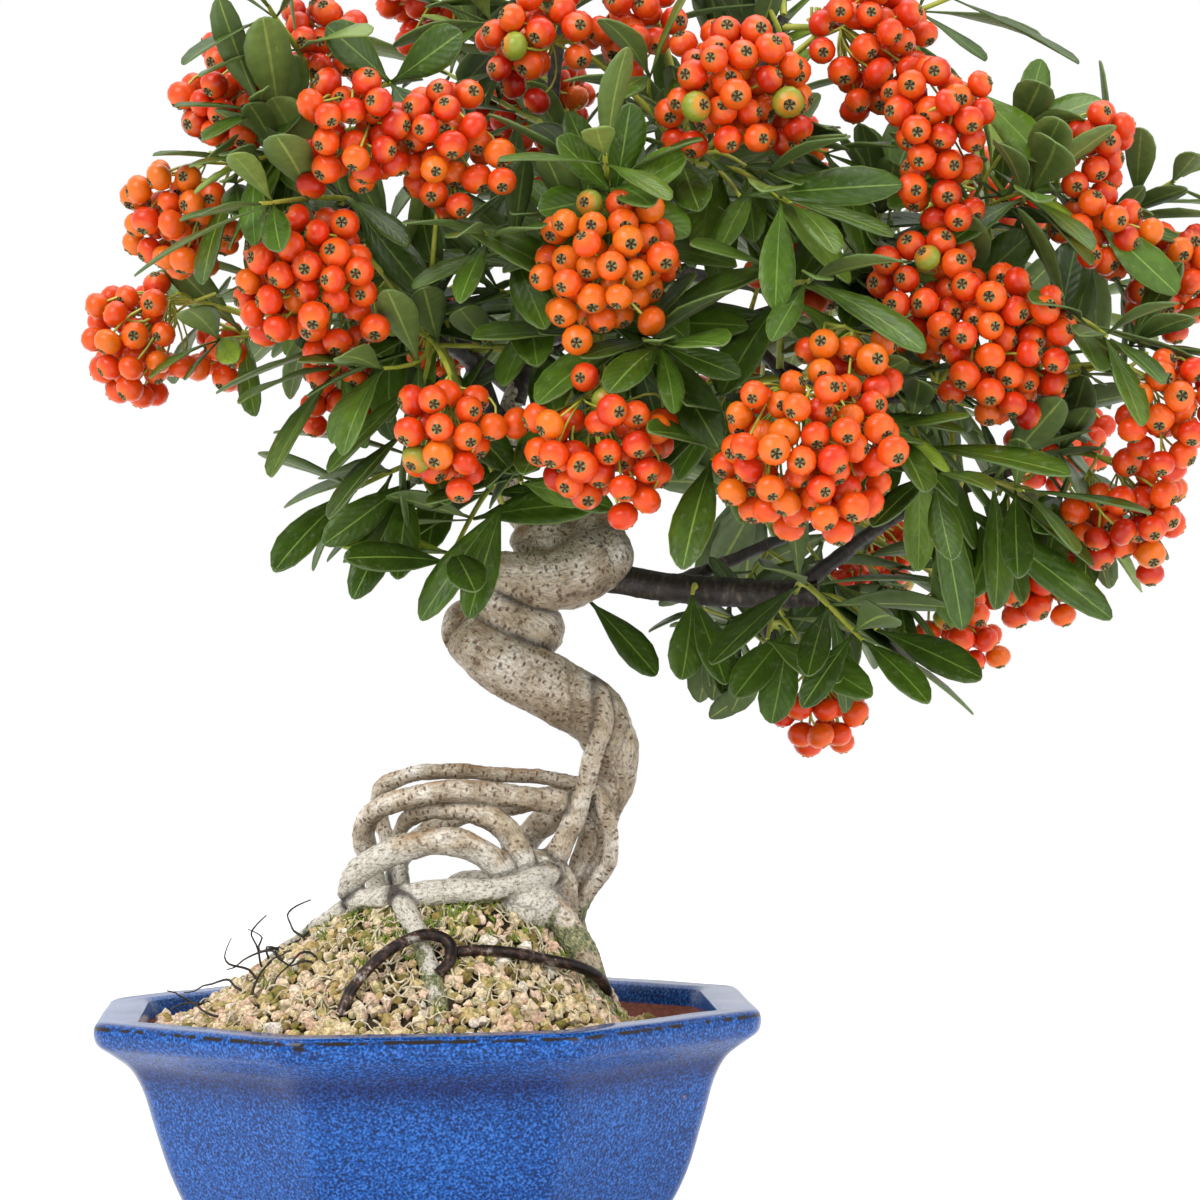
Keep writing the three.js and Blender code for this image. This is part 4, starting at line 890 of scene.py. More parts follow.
def makeSoil():
    shape = soilShape
    clearSelection()
    bpy.ops.mesh.primitive_cylinder_add(
        vertices=shape["around"], radius=shape["edge"] * mm, depth=shape["thickness"] * mm,
        location=at(0, 0, shape["middle"]), end_fill_type="NGON",
    )
    soil = bpy.context.object
    bpy.ops.object.transform_apply(location=True, rotation=True, scale=True)
    bpy.ops.object.mode_set(mode="EDIT")
    bpy.ops.mesh.select_mode(type="FACE")
    for way, insets in ((1, shape["rings"]), (-1, 0)):
        bpy.ops.mesh.select_all(action="DESELECT")
        body = bmesh.from_edit_mesh(soil.data)
        for face in body.faces:
            face.select = face.normal.z * way > 0.9
        bmesh.update_edit_mesh(soil.data)
        for _ in range(insets):
            bpy.ops.mesh.inset(thickness=shape["edge"] / (shape["rings"] + 1) * mm)
        if way > 0:
            bpy.ops.mesh.poke()
            continue
        for inset, depth in shape["walls"]:
            level = potShape["height"] - depth
            half = max(np.hypot(*vertex.co.xy - potMiddle.xy) for vertex in body.verts if vertex.select) / mm
            bpy.ops.mesh.extrude_region_move()
            body = bmesh.from_edit_mesh(soil.data)
            lowest = min(vertex.co.z for vertex in body.verts if vertex.select) / mm
            bpy.ops.transform.translate(value=(0, 0, (level - lowest) * mm))
            share = (potShape["rimHalf"] - inset) / half
            bpy.ops.transform.resize(value=(share, share, 1), center_override=at(0, 0, level))
            body = bmesh.from_edit_mesh(soil.data)
    bpy.ops.object.mode_set(mode="OBJECT")
    soil.name = soil.data.name = "soilMound"
    coords = benchCoords(soil.data)
    angle = np.arctan2(coords[:, 1], coords[:, 0])
    reach = octagonReach(angle)
    coords[:, :2] *= reach[:, None]
    isTop = coords[:, 2] > shape["topOver"]
    coords[isTop, 2] = moundHeight(coords[isTop, 0], coords[isTop, 1]) - shape["underGrains"]
    isRim = isTop & (np.hypot(coords[:, 0], coords[:, 1]) > shape["rimShare"] * shape["edge"] * reach)
    coords[isRim, 2] = shape["rimHeight"] - dipAt(coords[isRim, 0])
    setBenchCoords(soil.data, coords)
    displaceBy(soil, "soilLumps", shape["lumpSize"], shape["lumps"])
    # the near-black earth is real soil and painted shade between the grains
    soil.data.materials.append(earthAndGapShade)
    bpy.ops.object.shade_smooth()
    return settle(soil, "soil", "soil")


makeSoil()
print("soil heaped")


# Tie wire: one length is hooked over the other, and both go down into the soil.
wirePaths = {
    "hooked": [
        [-21, -48, 68], [-19, -46, 73], [-14, -42, 79], [-7, -39, 84], [0, -37, 86], [5, -38, 84], [5, -41, 80],
        [2, -43, 77],
    ],
    "crossing": [
        [4, -38, 81.5], [12, -37, 82], [21, -36, 81], [29, -34, 79], [36, -30, 77], [42, -25, 73], [44, -20, 66],
    ],
}
wireShape = {"radius": 1.4, "bloomSize": 1.5, "bloom": 0.25}


def makeWire():
    paths = [
        pathThrough([[*place, wireShape["radius"]] for place in path], perSpan=10) for path in wirePaths.values()
    ]
    wire = makeRods("tieWire", paths, resolution=4, material=oxidisedCopper)
    displaceBy(wire, "wireBloom", wireShape["bloomSize"], wireShape["bloom"])
    return settle(wire, "wire", "tie_wire")


makeWire()
print("wire bent")


# Each bunch is one or two lumps of berries, [x, y, z, radius].
bunches = {
    "01": [[-42, -43, 286, 13.7], [-21, -34, 299, 11.9]],
    "02": [[-15, -74, 273, 13.3], [7, -71, 269, 14.3]],
    "03": [[-54, -27, 260, 14.9]],
    "04": [[-66, 4, 231, 15.3], [-46, 13, 228, 9]],
    "05": [[-23, -64, 238, 18]],
    "06": [[5, -75, 206, 12.8]],
    "07": [[43, -83, 240, 16.4]],
    "08": [[40, -87, 201, 15.9]],
    "09": [[29, -52, 296, 13.6], [52, -43, 301, 11.4]],
    "10": [[72, -69, 281, 17.1]],
    "11": [[104, -51, 296, 16.5]],
    "12": [[121, -69, 275, 13], [119, -67, 260, 9.5]],
    "13": [[84, -105, 198, 19.6], [96, -96, 218, 10.4]],
    "14": [[117, -67, 235, 14], [132, -73, 223, 17.1]],
    "15": [[159, -49, 270, 10.4], [162, -54, 249, 11.3]],
    "16": [[181, -36, 241, 13.5]],
    "17": [[172, -70, 208, 13]],
    "18": [[167, -50, 185, 14.2]],
    "19": [[148, -24, 175, 15.5]],
    "20": [[137, 32, 159, 12.3]],
    "21": [[101, 14, 138, 11.1]],
    "22": [[166, 46, 207, 13.5]],
    "23": [[119, 58, 178, 12.6]],
    "24": [[-26, 54, 274, 15.9]],
    "25": [[36, 66, 290, 16.7]],
    "26": [[94, 74, 282, 16.9]],
    "27": [[148, 58, 266, 16.6]],
    "28": [[6, 66, 232, 15.5]],
    "29": [[82, 66, 214, 16.2]],
    "30": [[46, -13, 330, 14.7]],
    "31": [[97, 24, 337, 15.2]],
    "32": [[6, 34, 322, 14.5]],
}
# Each shoot runs from a place near its foot to its tip.
shoots = {
    "01": [[5, -10, 197], [-18, -21, 192]],
    "02": [[19, -13, 190], [6, -45, 175]],
    "03": [[-4, -10, 234], [-21, -29, 220]],
    "04": [[15, -16, 226], [0, -45, 226]],
    "05": [[-11, -39, 254], [-36, -73, 257]],
    "06": [[-20, -34, 280], [-34, -58, 304]],
    "07": [[46, -44, 246], [42, -86, 266]],
    "08": [[30, -30, 236], [15, -70, 250]],
    "09": [[24, -16, 204], [23, -56, 193]],
    "10": [[72, -40, 262], [84, -84, 255]],
    "11": [[85, -45, 231], [88, -90, 237]],
    "12": [[71, -44, 212], [66, -79, 197]],
    "13": [[112, -62, 201], [116, -87, 191]],
    "14": [[129, -37, 189], [139, -68, 189]],
    "15": [[152, -44, 219], [159, -74, 224]],
    "16": [[146, -28, 251], [141, -66, 258]],
    "17": [[167, -20, 254], [186, -24, 266]],
    "18": [[89, -25, 167], [103, -51, 155]],
    "19": [[115, -7, 297], [134, -18, 312]],
    "20": [[34, -2, 308], [33, 12, 340]],
    "21": [[-6, 46, 250], [-26, 74, 246]],
    "22": [[47, 52, 257], [50, 88, 262]],
    "23": [[104, 52, 246], [120, 86, 246]],
    "24": [[15, 29, 287], [8, 58, 304]],
}
# Two small bunches hang deep in the crown, beside those that the frame has.
extraBunches = {"33": [[-18, -19, 217, 10.2]], "34": [[92, -25, 241, 10.2]]}
allBunches = {**bunches, **extraBunches}


# Crown: leaves on green shoots, and berries in bunches between them.
leafShape = {
    "across": 4, "along": 8, "thickness": 0.45, "fold": 0.16, "curl": 0.05,
    "outline": [
        [0, 0.07], [0.08, 0.09], [0.16, 0.2], [0.3, 0.55], [0.45, 0.82], [0.6, 0.97], [0.72, 1], [0.84, 0.88],
        [0.93, 0.62], [0.98, 0.32], [1, 0.1],
    ],
    "rows": [0, 0.1, 0.24, 0.42, 0.6, 0.76, 0.9, 0.975, 1],
}


def widthAt(share):
    places, widths = np.array(leafShape["outline"]).T
    return np.interp(share, places, widths)


# One leaf, 1 long and 1 wide, flat in the XY plane with its foot at the origin and its tip towards +Y.
def makeLeafPattern():
    clearSelection()
    bpy.ops.mesh.primitive_grid_add(
        x_subdivisions=leafShape["across"], y_subdivisions=leafShape["along"], size=1, location=(0, 0.5, 0),
        calc_uvs=True,
    )
    leaf = bpy.context.object
    bpy.ops.object.transform_apply(location=True, rotation=True, scale=True)
    coords = coordsOf(leaf.data)
    rows = np.interp(coords[:, 1], np.linspace(0, 1, leafShape["along"] + 1), leafShape["rows"])
    coords[:, 1] = rows
    leaf.data.materials.append(leafTop)
    leaf.data.materials.append(leafUnder)
    setCoords(leaf.data, coords)
    leaf.name = leaf.data.name = "leafPattern"
    applyModifier(leaf, "SOLIDIFY", thickness=1.0, offset=-1.0, material_offset=1, material_offset_rim=1)
    bpy.ops.object.shade_smooth()
    return leaf


leafPattern = makeLeafPattern()
patternCoords = coordsOf(leafPattern.data)
print("leaf pattern cut", len(leafPattern.data.polygons))


# A leaf of the crown: its foot, the way it leaves the stem, its upper side, its length, half width and droop.
def placeLeaf(leaf, random, tone):
    copy = copyOf(leafPattern)
    share = patternCoords[:, 1]
    across = patternCoords[:, 0] * 2
    depth = patternCoords[:, 2]
    along = unit(leaf["along"])
    side = unit(np.cross(along, leaf["up"]))
    top = unit(np.cross(side, along))
    length, half = leaf["length"], leaf["half"]
    fold = leafShape["fold"] * (0.6 + random.random() * 0.9) * np.clip(share * 4, 0, 1)
    wave = leafShape["curl"] * np.sin(share * (7 + 4 * random.random()) + random.random() * 6) * across
    sweep = (random.random() - 0.5) * 0.12 * share ** 2 * length
    width = half * widthAt(share) * across
    lift = np.abs(across) ** 1.3 * half * widthAt(share) * (fold + wave)
    droop = leaf["droop"] * share ** 2 * length
    coords = (
        np.array(leaf["foot"]) + np.outer(share * length, along) + np.outer(width + sweep, side)
        + np.outer(lift - droop + depth * leafShape["thickness"], top)
    )
    setBenchCoords(copy.data, coords)
    storeFloats(copy.data, "tone", np.full(len(coords), tone))
    return copy


# The rings of a solid leaf lie at 0.4 and 0.76 of its length, which gives the shares for its reach and bend.
leafRings = {"reach": [-0.84, 0.4176], "bend": [-0.6, 0.36], "scale": -0.05184}


# The leaves of a solid shoot. Each tip has three faces, and behind it come two rings of three corners.
def readLeaves(node):
    body = bmesh.new()
    body.from_mesh(node.data)
    bmesh.ops.remove_doubles(body, verts=body.verts, dist=1e-7)
    middle = np.array(potMiddle)
    leaves = []
    for tip in body.verts:
        if len(tip.link_edges) != 3:
            continue
        ring = [edge.other_vert(tip) for edge in tip.link_edges]
        inner = {edge.other_vert(corner) for corner in ring for edge in corner.link_edges} - set(ring) - {tip}
        if len(inner) != 3:
            continue
        wide, narrow = (splitRing([(np.array(corner.co) - middle) / mm for corner in corners])
                        for corners in (ring, list(inner)))
        end = (np.array(tip.co) - middle) / mm
        p, q = wide["middle"] - narrow["middle"], end - narrow["middle"]
        reach, bend = (
            (byRings * p + byTip * q) / leafRings["scale"]
            for byRings, byTip in (leafRings["reach"], leafRings["bend"])
        )
        length = np.linalg.norm(reach)
        leaves.append({
            "foot": end - reach + bend, "along": reach, "up": wide["middle"] - wide["keel"], "length": length,
            "half": wide["half"], "droop": np.linalg.norm(bend) / length,
        })
    body.free()
    return leaves


# A leaf's ring of three: its two edges lie farthest apart, and the third corner is its keel.
def splitRing(corners):
    pairs = ((0, 1, 2), (1, 2, 0), (2, 0, 1))
    a, b, keel = max(pairs, key=lambda pair: np.linalg.norm(corners[pair[0]] - corners[pair[1]]))
    return {
        "middle": (corners[a] + corners[b]) / 2, "keel": corners[keel],
        "half": np.linalg.norm(corners[a] - corners[b]) / 2,
    }


barkRows = np.vstack([pathThrough(path, perSpan=8)[8:] for path in [coils["turn"], *branches.values()]])


# A point just under the bark of the branch nearest to a target, on the target's side.
def barkBeside(target):
    offsets = np.array(target) - barkRows[:, :3]
    nearest = np.argmin(np.linalg.norm(offsets, axis=1))
    x, y, z, radius = barkRows[nearest]
    return np.array([x, y, z]) + unit(offsets[nearest]) * (radius * 0.6)


def bezier(start, middle, end, count):
    t = np.linspace(0, 1, count)[:, None]
    return (1 - t) ** 2 * start + 2 * t * (1 - t) * middle + t ** 2 * end


def rod(points, first, last):
    return np.column_stack([points, np.linspace(first, last, len(points))])


crownMiddle = np.array([60, 0, 240])
lumps = np.array([lump for bunch in allBunches.values() for lump in bunch], float)


def leafPlaces(leaf):
    shares = np.array([0.25, 0.4, 0.55, 0.7, 0.85, 1])
    return (
        leaf["foot"] + np.outer(shares * leaf["length"], unit(leaf["along"]))
        - np.outer(leaf["droop"] * shares ** 2 * leaf["length"], unit(leaf["up"]))
    )


def isAmongBerries(leaf, room=0.5):
    gaps = np.linalg.norm(leafPlaces(leaf)[:, None] - lumps[None, :, :3], axis=2) - lumps[:, 3]
    return bool(np.any(gaps < room))


# The trunk's coils stay in sight, and so does the air beside and under the crown. The windows lie in the plane
# of the trunk, as the camera sees it, and only a leaf nearer than "front" is in the way.
coilWindow = {"front": -6, "left": 3, "right": 56, "low": 128, "high": 187}
openAir = [
    {"front": 200, "left": -90, "right": 3, "low": 60, "high": 172},
    {"front": 200, "left": 54, "right": 170, "low": 60, "high": 135},
    {"front": 200, "left": 46, "right": 69, "low": 110, "high": 157},
]


def hangsIn(leaf, window):
    places = leafPlaces(leaf)
    nearer = view["distance"] / (view["distance"] + places[:, 1])
    x = view["aside"] + (places[:, 0] - view["aside"]) * nearer
    z = view["height"] + (places[:, 2] - view["height"]) * nearer
    isWithin = (x > window["left"]) & (x < window["right"]) & (z > window["low"]) & (z < window["high"])
    return bool(np.any(isWithin & (places[:, 1] < window["front"])))


def isInTheWay(leaf):
    return any(hangsIn(leaf, window) for window in [coilWindow, *openAir])


# A leaf of a solid shoot that would hang in one of the windows is swung about its foot until it is clear.
def swingClear(leaf):
    for degrees in (20, -20, 40, -40, 60, -60, 80, -80, 105, -105, 130, -130):
        turn = np.array(Matrix.Rotation(math.radians(degrees), 3, "Y"))
        swung = {**leaf, "along": turn @ leaf["along"], "up": turn @ leaf["up"]}
        if not isInTheWay(swung):
            return swung
    return leaf


sprigShape = {
    "whorl": 7.5, "least": 22, "most": 40, "width": 0.15, "spread": 1.15, "closing": 0.35, "tipSpread": 0.75,
    "tipLeaves": 2, "turn": 2.4, "sag": 0.12, "crowding": 5.0, "tries": 5,
}
takenMiddles = []


def leafMiddle(leaf):
    return leaf["foot"] + 0.6 * leaf["length"] * unit(leaf["along"])


def isCrowded(leaf, room):
    place = leafMiddle(leaf)
    return any(np.linalg.norm(place - taken) < room for taken in takenMiddles)


# Leaves along a stem in loose whorls, each turned from the last. One that finds no free place is left out.
def growLeaves(points, random, leafCount=3, size=1.0, first=0.3):
    shape = sprigShape
    runs = runsAlong(points)
    total = runs[-1]
    grown = []
    count = max(2, int(total * (1 - first) / shape["whorl"]) + 1)
    turn = random.random() * 6.28
    for whorl in range(count):
        share = first + (1 - first) * whorl / (count - 1)
        isTip = whorl == count - 1
        arms = leafCount + (shape["tipLeaves"] if isTip else 0)
        place = pointAt(share * total, runs, points)
        step = np.argmin(np.abs(runs - share * total))
        way = unit(points[min(step + 1, len(points) - 1)] - points[max(step - 1, 0)])
        across = unit(np.cross(way, [0.1, 0.2, 1]))
        other = np.cross(way, across)
        outward = unit(place - crownMiddle)
        for arm in range(arms):
            for _ in range(shape["tries"]):
                angle = turn + whorl * shape["turn"] + arm * 6.283 / arms + random.normal() * 0.3
                spread = (shape["spread"] - shape["closing"] * share) * (shape["tipSpread"] if isTip else 1)
                spread += random.normal() * 0.15
                around = across * math.cos(angle) + other * math.sin(angle)
                along = way * math.cos(spread) + around * math.sin(spread)
                along[2] -= shape["sag"]
                up = np.array([random.normal() * 0.25, random.normal() * 0.25, 1]) + 0.6 * outward
                up = unit(up - unit(along) * np.dot(up, unit(along)))
                length = size * (shape["least"] + (shape["most"] - shape["least"]) * random.random())
                leaf = {
                    "foot": place, "along": along, "up": up, "length": length * (1 - 0.2 * share),
                    "half": length * shape["width"] * (0.85 + 0.3 * random.random()),
                    "droop": 0.04 + 0.2 * random.random(),
                }
                isFree = not isInTheWay(leaf) and not isAmongBerries(leaf)
                if isFree and not isCrowded(leaf, shape["crowding"]):
                    takenMiddles.append(leafMiddle(leaf))
                    grown.append(leaf)
                    break
    return grown


def leafTone(random, leaf):
    height = np.clip((leaf["foot"][2] - 180) / 300, 0, 0.2)
    return float(np.clip(0.18 + 0.42 * random.random() + height + (0.4 if random.random() < 0.05 else 0), 0, 1))


# Stems and their leaves become one piece. It gives back how many leaves there are.
def makeSpray(name, stems, leaves, random, *replaced):
    stemPiece = makeRods("stem", stems, resolution=1, material=stalkGreen)
    copies = [placeLeaf(leaf, random, leafTone(random, leaf)) for leaf in leaves]
    settle(joinPieces(name, [stemPiece, *copies]), "leaf", *replaced)
    return len(copies)


# Each solid shoot is dressed with a stem through the feet of its leaves, and a fine leaf for each of its blades.
def makeShoots():
    total, swung = 0, 0
    for number, (name, (near, tip)) in enumerate(shoots.items()):
        random = seeded(200 + number)
        leaves = readLeaves(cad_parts[f"leafy_shoot_{name}"])
        for index, leaf in enumerate(leaves):
            if isInTheWay(leaf):
                leaves[index] = swingClear(leaf)
                swung += 1
        takenMiddles.extend(leafMiddle(leaf) for leaf in leaves)
        start = barkBeside(near)
        way = unit(np.array(tip) - start)
        leaves.sort(key=lambda leaf: float(np.dot(leaf["foot"] - start, way)))
        stations = [start]
        group = [leaves[0]["foot"]]
        for leaf in leaves[1:]:
            if np.dot(leaf["foot"] - group[-1], way) > 3:
                stations.append(np.mean(group, axis=0))
                group = []
            group.append(leaf["foot"])
        stations.append(np.mean(group, axis=0))
        path = pathThrough([[*place, 0.95 - 0.09 * k] for k, place in enumerate(stations)], perSpan=5)
        total += makeSpray(f"leafyShoot{name}", [path], leaves, random, f"leafy_shoot_{name}")
    print("leaves on the solid shoots", total, "in the way", swung)


makeShoots()


# Five more shoots, given as the solid ones are.
extraShoots = [
    [[45, -43, 229], [54, -83, 223]], [[109, -26, 239], [111, -36, 257]], [[93, -5, 303], [76, -4, 332]],
    [[151, 41, 236], [171, 50, 239]], [[83, 35, 198], [91, 70, 194]],
]
# Leaves that stand out one by one: where their stem ends, where their tips are, and their half width.
featuredSprigs = [
    {"foot": [125, -58, 187], "tips": [[122, -64, 158], [160, -68, 160]], "half": 5.4},
    {"foot": [4, -66, 255], "tips": [[36, -76, 240]], "half": 5.2},
    {"foot": [82, -38, 155], "tips": [[106, -50, 144], [97, -52, 146]], "half": 5.0},
    {"foot": [108, -40, 157], "tips": [[132, -50, 147]], "half": 5.0},
    {"foot": [-3, -40, 194], "tips": [[-22, -50, 179], [-16, -52, 167], [-6, -54, 172]], "half": 4.4},
    {"foot": [19, -44, 188], "tips": [[10, -54, 162], [-2, -54, 163]], "half": 4.2},
    {"foot": [66, -16, 166], "tips": [[64, -24, 146], [73, -26, 145]], "half": 4.8},
    {"foot": [89, -20, 157], "tips": [[75, -28, 142], [85, -26, 135]], "half": 4.8},
    {"foot": [42, 8, 165], "tips": [[59, 4, 147]], "half": 4.4},
    {"foot": [-24, -48, 266], "tips": [[-33, -56, 284]], "half": 5.8, "showsUnder": True},
    {"foot": [159, -56, 254], "tips": [[176, -66, 235]], "half": 5.6},
    {"foot": [45, -72, 258], "half": 5.0, "tips": [
        [60, -82, 266], [48, -84, 277], [32, -82, 270], [28, -82, 254], [42, -84, 241], [61, -82, 249],
    ]},
    {"foot": [-6, -52, 287], "tips": [[-20, -60, 299], [10, -62, 297], [2, -64, 274]], "half": 5.6},
    {"foot": [74, -70, 258], "tips": [[110, -80, 260]], "half": 5.2},
    {"foot": [131, -56, 284], "tips": [[146, -66, 267]], "half": 5.0},
]
spurShape = {"perBranch": 0.06, "least": 12, "most": 24, "seed": 61}


def makeExtraShoots():
    random = seeded(41)
    stems, leaves = [], []
    for near, tip in extraShoots:
        start = barkBeside(near)
        points = bezier(start, np.array(near, float), np.array(tip, float), 9)
        stems.append(rod(points, 0.85, 0.5))
        leaves.extend(growLeaves(points, random))
    print("leaves on the filling shoots", makeSpray("fillingShoots", stems, leaves, random))


def makeFeaturedSprigs():
    random = seeded(47)
    stems, copies = [], []
    for sprig in featuredSprigs:
        foot = np.array(sprig["foot"], float)
        start = barkBeside(foot)
        stems.append(rod(bezier(start, (start + foot) / 2 + np.array([0, 0, 4]), foot, 9), 0.8, 0.5))
        facing = np.array([0, 1, 0.3]) if sprig.get("showsUnder") else np.array([0.1, -1, 0.6])
        for tip in sprig["tips"]:
            along = np.array(tip, float) - foot
            leaf = {
                "foot": foot, "along": along, "up": unit(facing + random.normal(size=3) * 0.15),
                "length": np.linalg.norm(along), "half": sprig["half"], "droop": 0.05 + 0.05 * random.random(),
            }
            takenMiddles.append(leafMiddle(leaf))
            copies.append(placeLeaf(leaf, random, leafTone(random, leaf)))
    stemPiece = makeRods("stem", stems, resolution=1, material=stalkGreen)
    settle(joinPieces("featuredSprigs", [stemPiece, *copies]), "leaf")
    print("leaves on the featured sprigs", len(copies))


def makeBunchSpurs():
    random = seeded(43)
    stems, leaves = [], []
    for number, lumpList in enumerate(bunches.values()):
        hub = np.array(lumpList[0][:3], float)
        start = barkBeside(hub)
        reach = np.linalg.norm(hub - start)
        for _ in range(1 + number % 2):
            aside = unit(np.cross(hub - start, random.normal(size=3)))
            end = start + (hub - start) * 0.55 + aside * reach * 0.35
            points = bezier(start, start + (hub - start) * 0.35, end, 7)
            grown = growLeaves(points, random, leafCount=2, size=0.95, first=0.5)
            if grown:
                stems.append(rod(points, 0.7, 0.45))
            leaves.extend(grown)
    print("leaves on the bunches' spurs", makeSpray("bunchSpurs", stems, leaves, random))


def makeBranchSpurs():
    random = seeded(spurShape["seed"])
    stems, leaves = [], []
    for name, path in branches.items():
        points = pathThrough(path, perSpan=8)
        runs = runsAlong(points[:, :3])
        first = 0.35 if name not in ("lowRight", "lowStub") else 0.2
        for _ in range(max(2, int(runs[-1] * spurShape["perBranch"]))):
            share = first + (1 - first) * random.random()
            place = pointAt(share * runs[-1], runs, points)
            outward = unit(place - crownMiddle)
            way = unit(random.normal(size=3) + 0.8 * outward + np.array([0, 0, 0.3]))
            length = spurShape["least"] + (spurShape["most"] - spurShape["least"]) * random.random()
            line = bezier(place, place + way * length * 0.5, place + way * length + np.array([0, 0, 2.0]), 6)
            grown = growLeaves(line, random, leafCount=2, size=0.9, first=0.45)
            if grown:
                stems.append(rod(line, 0.7, 0.4))
            leaves.extend(grown)
    print("leaves on the branches' spurs", makeSpray("branchSpurs", stems, leaves, random))


makeFeaturedSprigs()
makeExtraShoots()
makeBunchSpurs()
makeBranchSpurs()


# Berries: an oblate fruit with a sunken crown, which five dry sepals close but for a dark star.
berryShape = {
    "radius": 3.7, "height": 0.85, "segments": 12, "rings": 7, "dimple": 0.26, "mouth": 0.86, "lipLift": 0.03,
    "sepalLength": 0.3, "sepalWidth": 0.17, "sepalMiddle": 0.21,
}
bunchShape = {
    "reach": 2.6, "apart": 6.9, "cover": 0.95, "rounds": 24, "slack": 2.2, "flatten": 0.85, "strays": 2,
    "strayReach": 4, "stalk": 0.8, "pedicel": 0.35,
}


# One berry of radius 1 with its crown towards +Z and its pedicel at -Z.
def makeBerryPattern():
    clearSelection()
    shape = berryShape
    bpy.ops.mesh.primitive_uv_sphere_add(
        segments=shape["segments"], ring_count=shape["rings"], radius=1, location=(0, 0, 0), calc_uvs=True
    )
    berry = bpy.context.object
    bpy.ops.object.mode_set(mode="EDIT")
    bpy.ops.mesh.select_mode(type="VERT")
    bpy.ops.mesh.select_all(action="DESELECT")
    body = bmesh.from_edit_mesh(berry.data)
    for vertex in body.verts:
        vertex.select = vertex.co.z > 0.999
    bmesh.update_edit_mesh(berry.data)
    bpy.ops.transform.translate(value=(0, 0, -shape["dimple"]))
    bpy.ops.mesh.select_all(action="DESELECT")
    body = bmesh.from_edit_mesh(berry.data)
    for vertex in body.verts:
        vertex.select = vertex.co.z > 0.85
    bmesh.update_edit_mesh(berry.data)
    bpy.ops.transform.resize(value=(shape["mouth"], shape["mouth"], 1), center_override=(0, 0, 0.9))
    bpy.ops.transform.translate(value=(0, 0, shape["lipLift"]))
    bpy.ops.mesh.select_all(action="SELECT")
    bpy.ops.transform.resize(value=(1, 1, shape["height"]))
    bpy.ops.object.mode_set(mode="OBJECT")
    berry.data.materials.append(berrySkin)
    berry.data.materials.append(calyxHeart)
    berry.data.materials.append(sepal)
    top = max(vertex.co.z for vertex in berry.data.vertices)
    for face in berry.data.polygons:
        face.material_index = int(len(face.vertices) == 3 and face.center.z > 0)
    crown = []
    for arm in range(5):
        turn = arm * 2 * math.pi / 5
        bpy.ops.mesh.primitive_cone_add(
            vertices=3, radius1=shape["sepalWidth"], radius2=0, depth=shape["sepalLength"], end_fill_type="NGON",
            location=(shape["sepalMiddle"] * math.cos(turn), shape["sepalMiddle"] * math.sin(turn), top),
            rotation=(0, -math.radians(96), turn), scale=(0.35, 1, 1),
        )
        flap = bpy.context.object
        flap.data.materials.append(sepal)
        crown.append(flap)
    berry = joinPieces("berryPattern", [berry, *crown])
    bpy.ops.object.transform_apply(location=True, rotation=True, scale=True)
    bpy.ops.object.shade_smooth_by_angle(angle=math.radians(50))
    return berry


berryPattern = makeBerryPattern()
berryCoords = coordsOf(berryPattern.data)
print("berry pattern made", len(berryPattern.data.polygons))


def turnTo(way):
    return np.array(Vector((0, 0, 1)).rotation_difference(Vector(way)).to_matrix())


# Berries cover the outer side of each lump in a loose dome, push each other apart, and a few hang out below.
def packBerries():
    random = seeded(5)
    shape = bunchShape
    middles, owners, limits = [], [], []
    for number, (x, y, z, radius) in enumerate(lumps):
        inner = radius - shape["reach"]
        outward = outwardOf(number)
        count = int(round(shape["cover"] * 0.72 * 4 * math.pi * inner ** 2 / (0.87 * shape["apart"] ** 2)))
        for berry in range(count + shape["strays"]):
            strayBy = shape["strayReach"] if berry >= count else 0
            way = unit(random.normal(size=3))
            if np.dot(way, outward) < -0.45:
                way -= 2 * np.dot(way, outward) * outward
            way = unit(way + np.array([0, 0, -0.17 * strayBy]))
            offset = way * (inner * (0.7 + 0.38 * random.random()) + strayBy)
            offset -= outward * np.dot(offset, outward) * (1 - shape["flatten"])
            middles.append(np.array([x, y, z]) + offset + random.normal(size=3))
            owners.append(number)
            limits.append(inner + shape["slack"] + strayBy)
    middles, owners, limits = np.array(middles), np.array(owners), np.array(limits)
    centres = lumps[owners, :3]
    wood = barkRows
    for _ in range(bunchShape["rounds"]):
        offsets = middles[:, None] - middles[None]
        distances = np.linalg.norm(offsets, axis=2) + np.eye(len(middles)) * 99
        overlap = np.clip(bunchShape["apart"] - distances, 0, None)
        middles += np.sum(offsets / distances[:, :, None] * (overlap * 0.34)[:, :, None], axis=1)
        woodOffsets = middles[:, None] - wood[None, :, :3]
        woodDistances = np.linalg.norm(woodOffsets, axis=2)
        nearest = np.argmin(woodDistances - wood[:, 3], axis=1)
        pick = np.arange(len(middles))
        short = np.clip(wood[nearest, 3] + 4 - woodDistances[pick, nearest], 0, None)
        middles += woodOffsets[pick, nearest] / woodDistances[pick, nearest][:, None] * short[:, None]
        inward = middles - centres
        length = np.linalg.norm(inward, axis=1)
        over = np.clip(length - limits, 0, None)
        middles -= inward / (length[:, None] + 1e-9) * over[:, None]
    return middles, owners


bunchOfLump = [name for name, lumpList in allBunches.items() for _ in lumpList]
firstLump = {name: bunchOfLump.index(name) for name in allBunches}


def outwardOf(number):
    name = bunchOfLump[number]
    hub = lumps[firstLump[name], :3]
    return unit(0.7 * unit(hub - barkBeside(hub)) + 0.5 * unit(hub - crownMiddle) - np.array([0, 0, 0.3]))


berryMiddles, berryOwners = packBerries()
print("berries packed", len(berryMiddles))


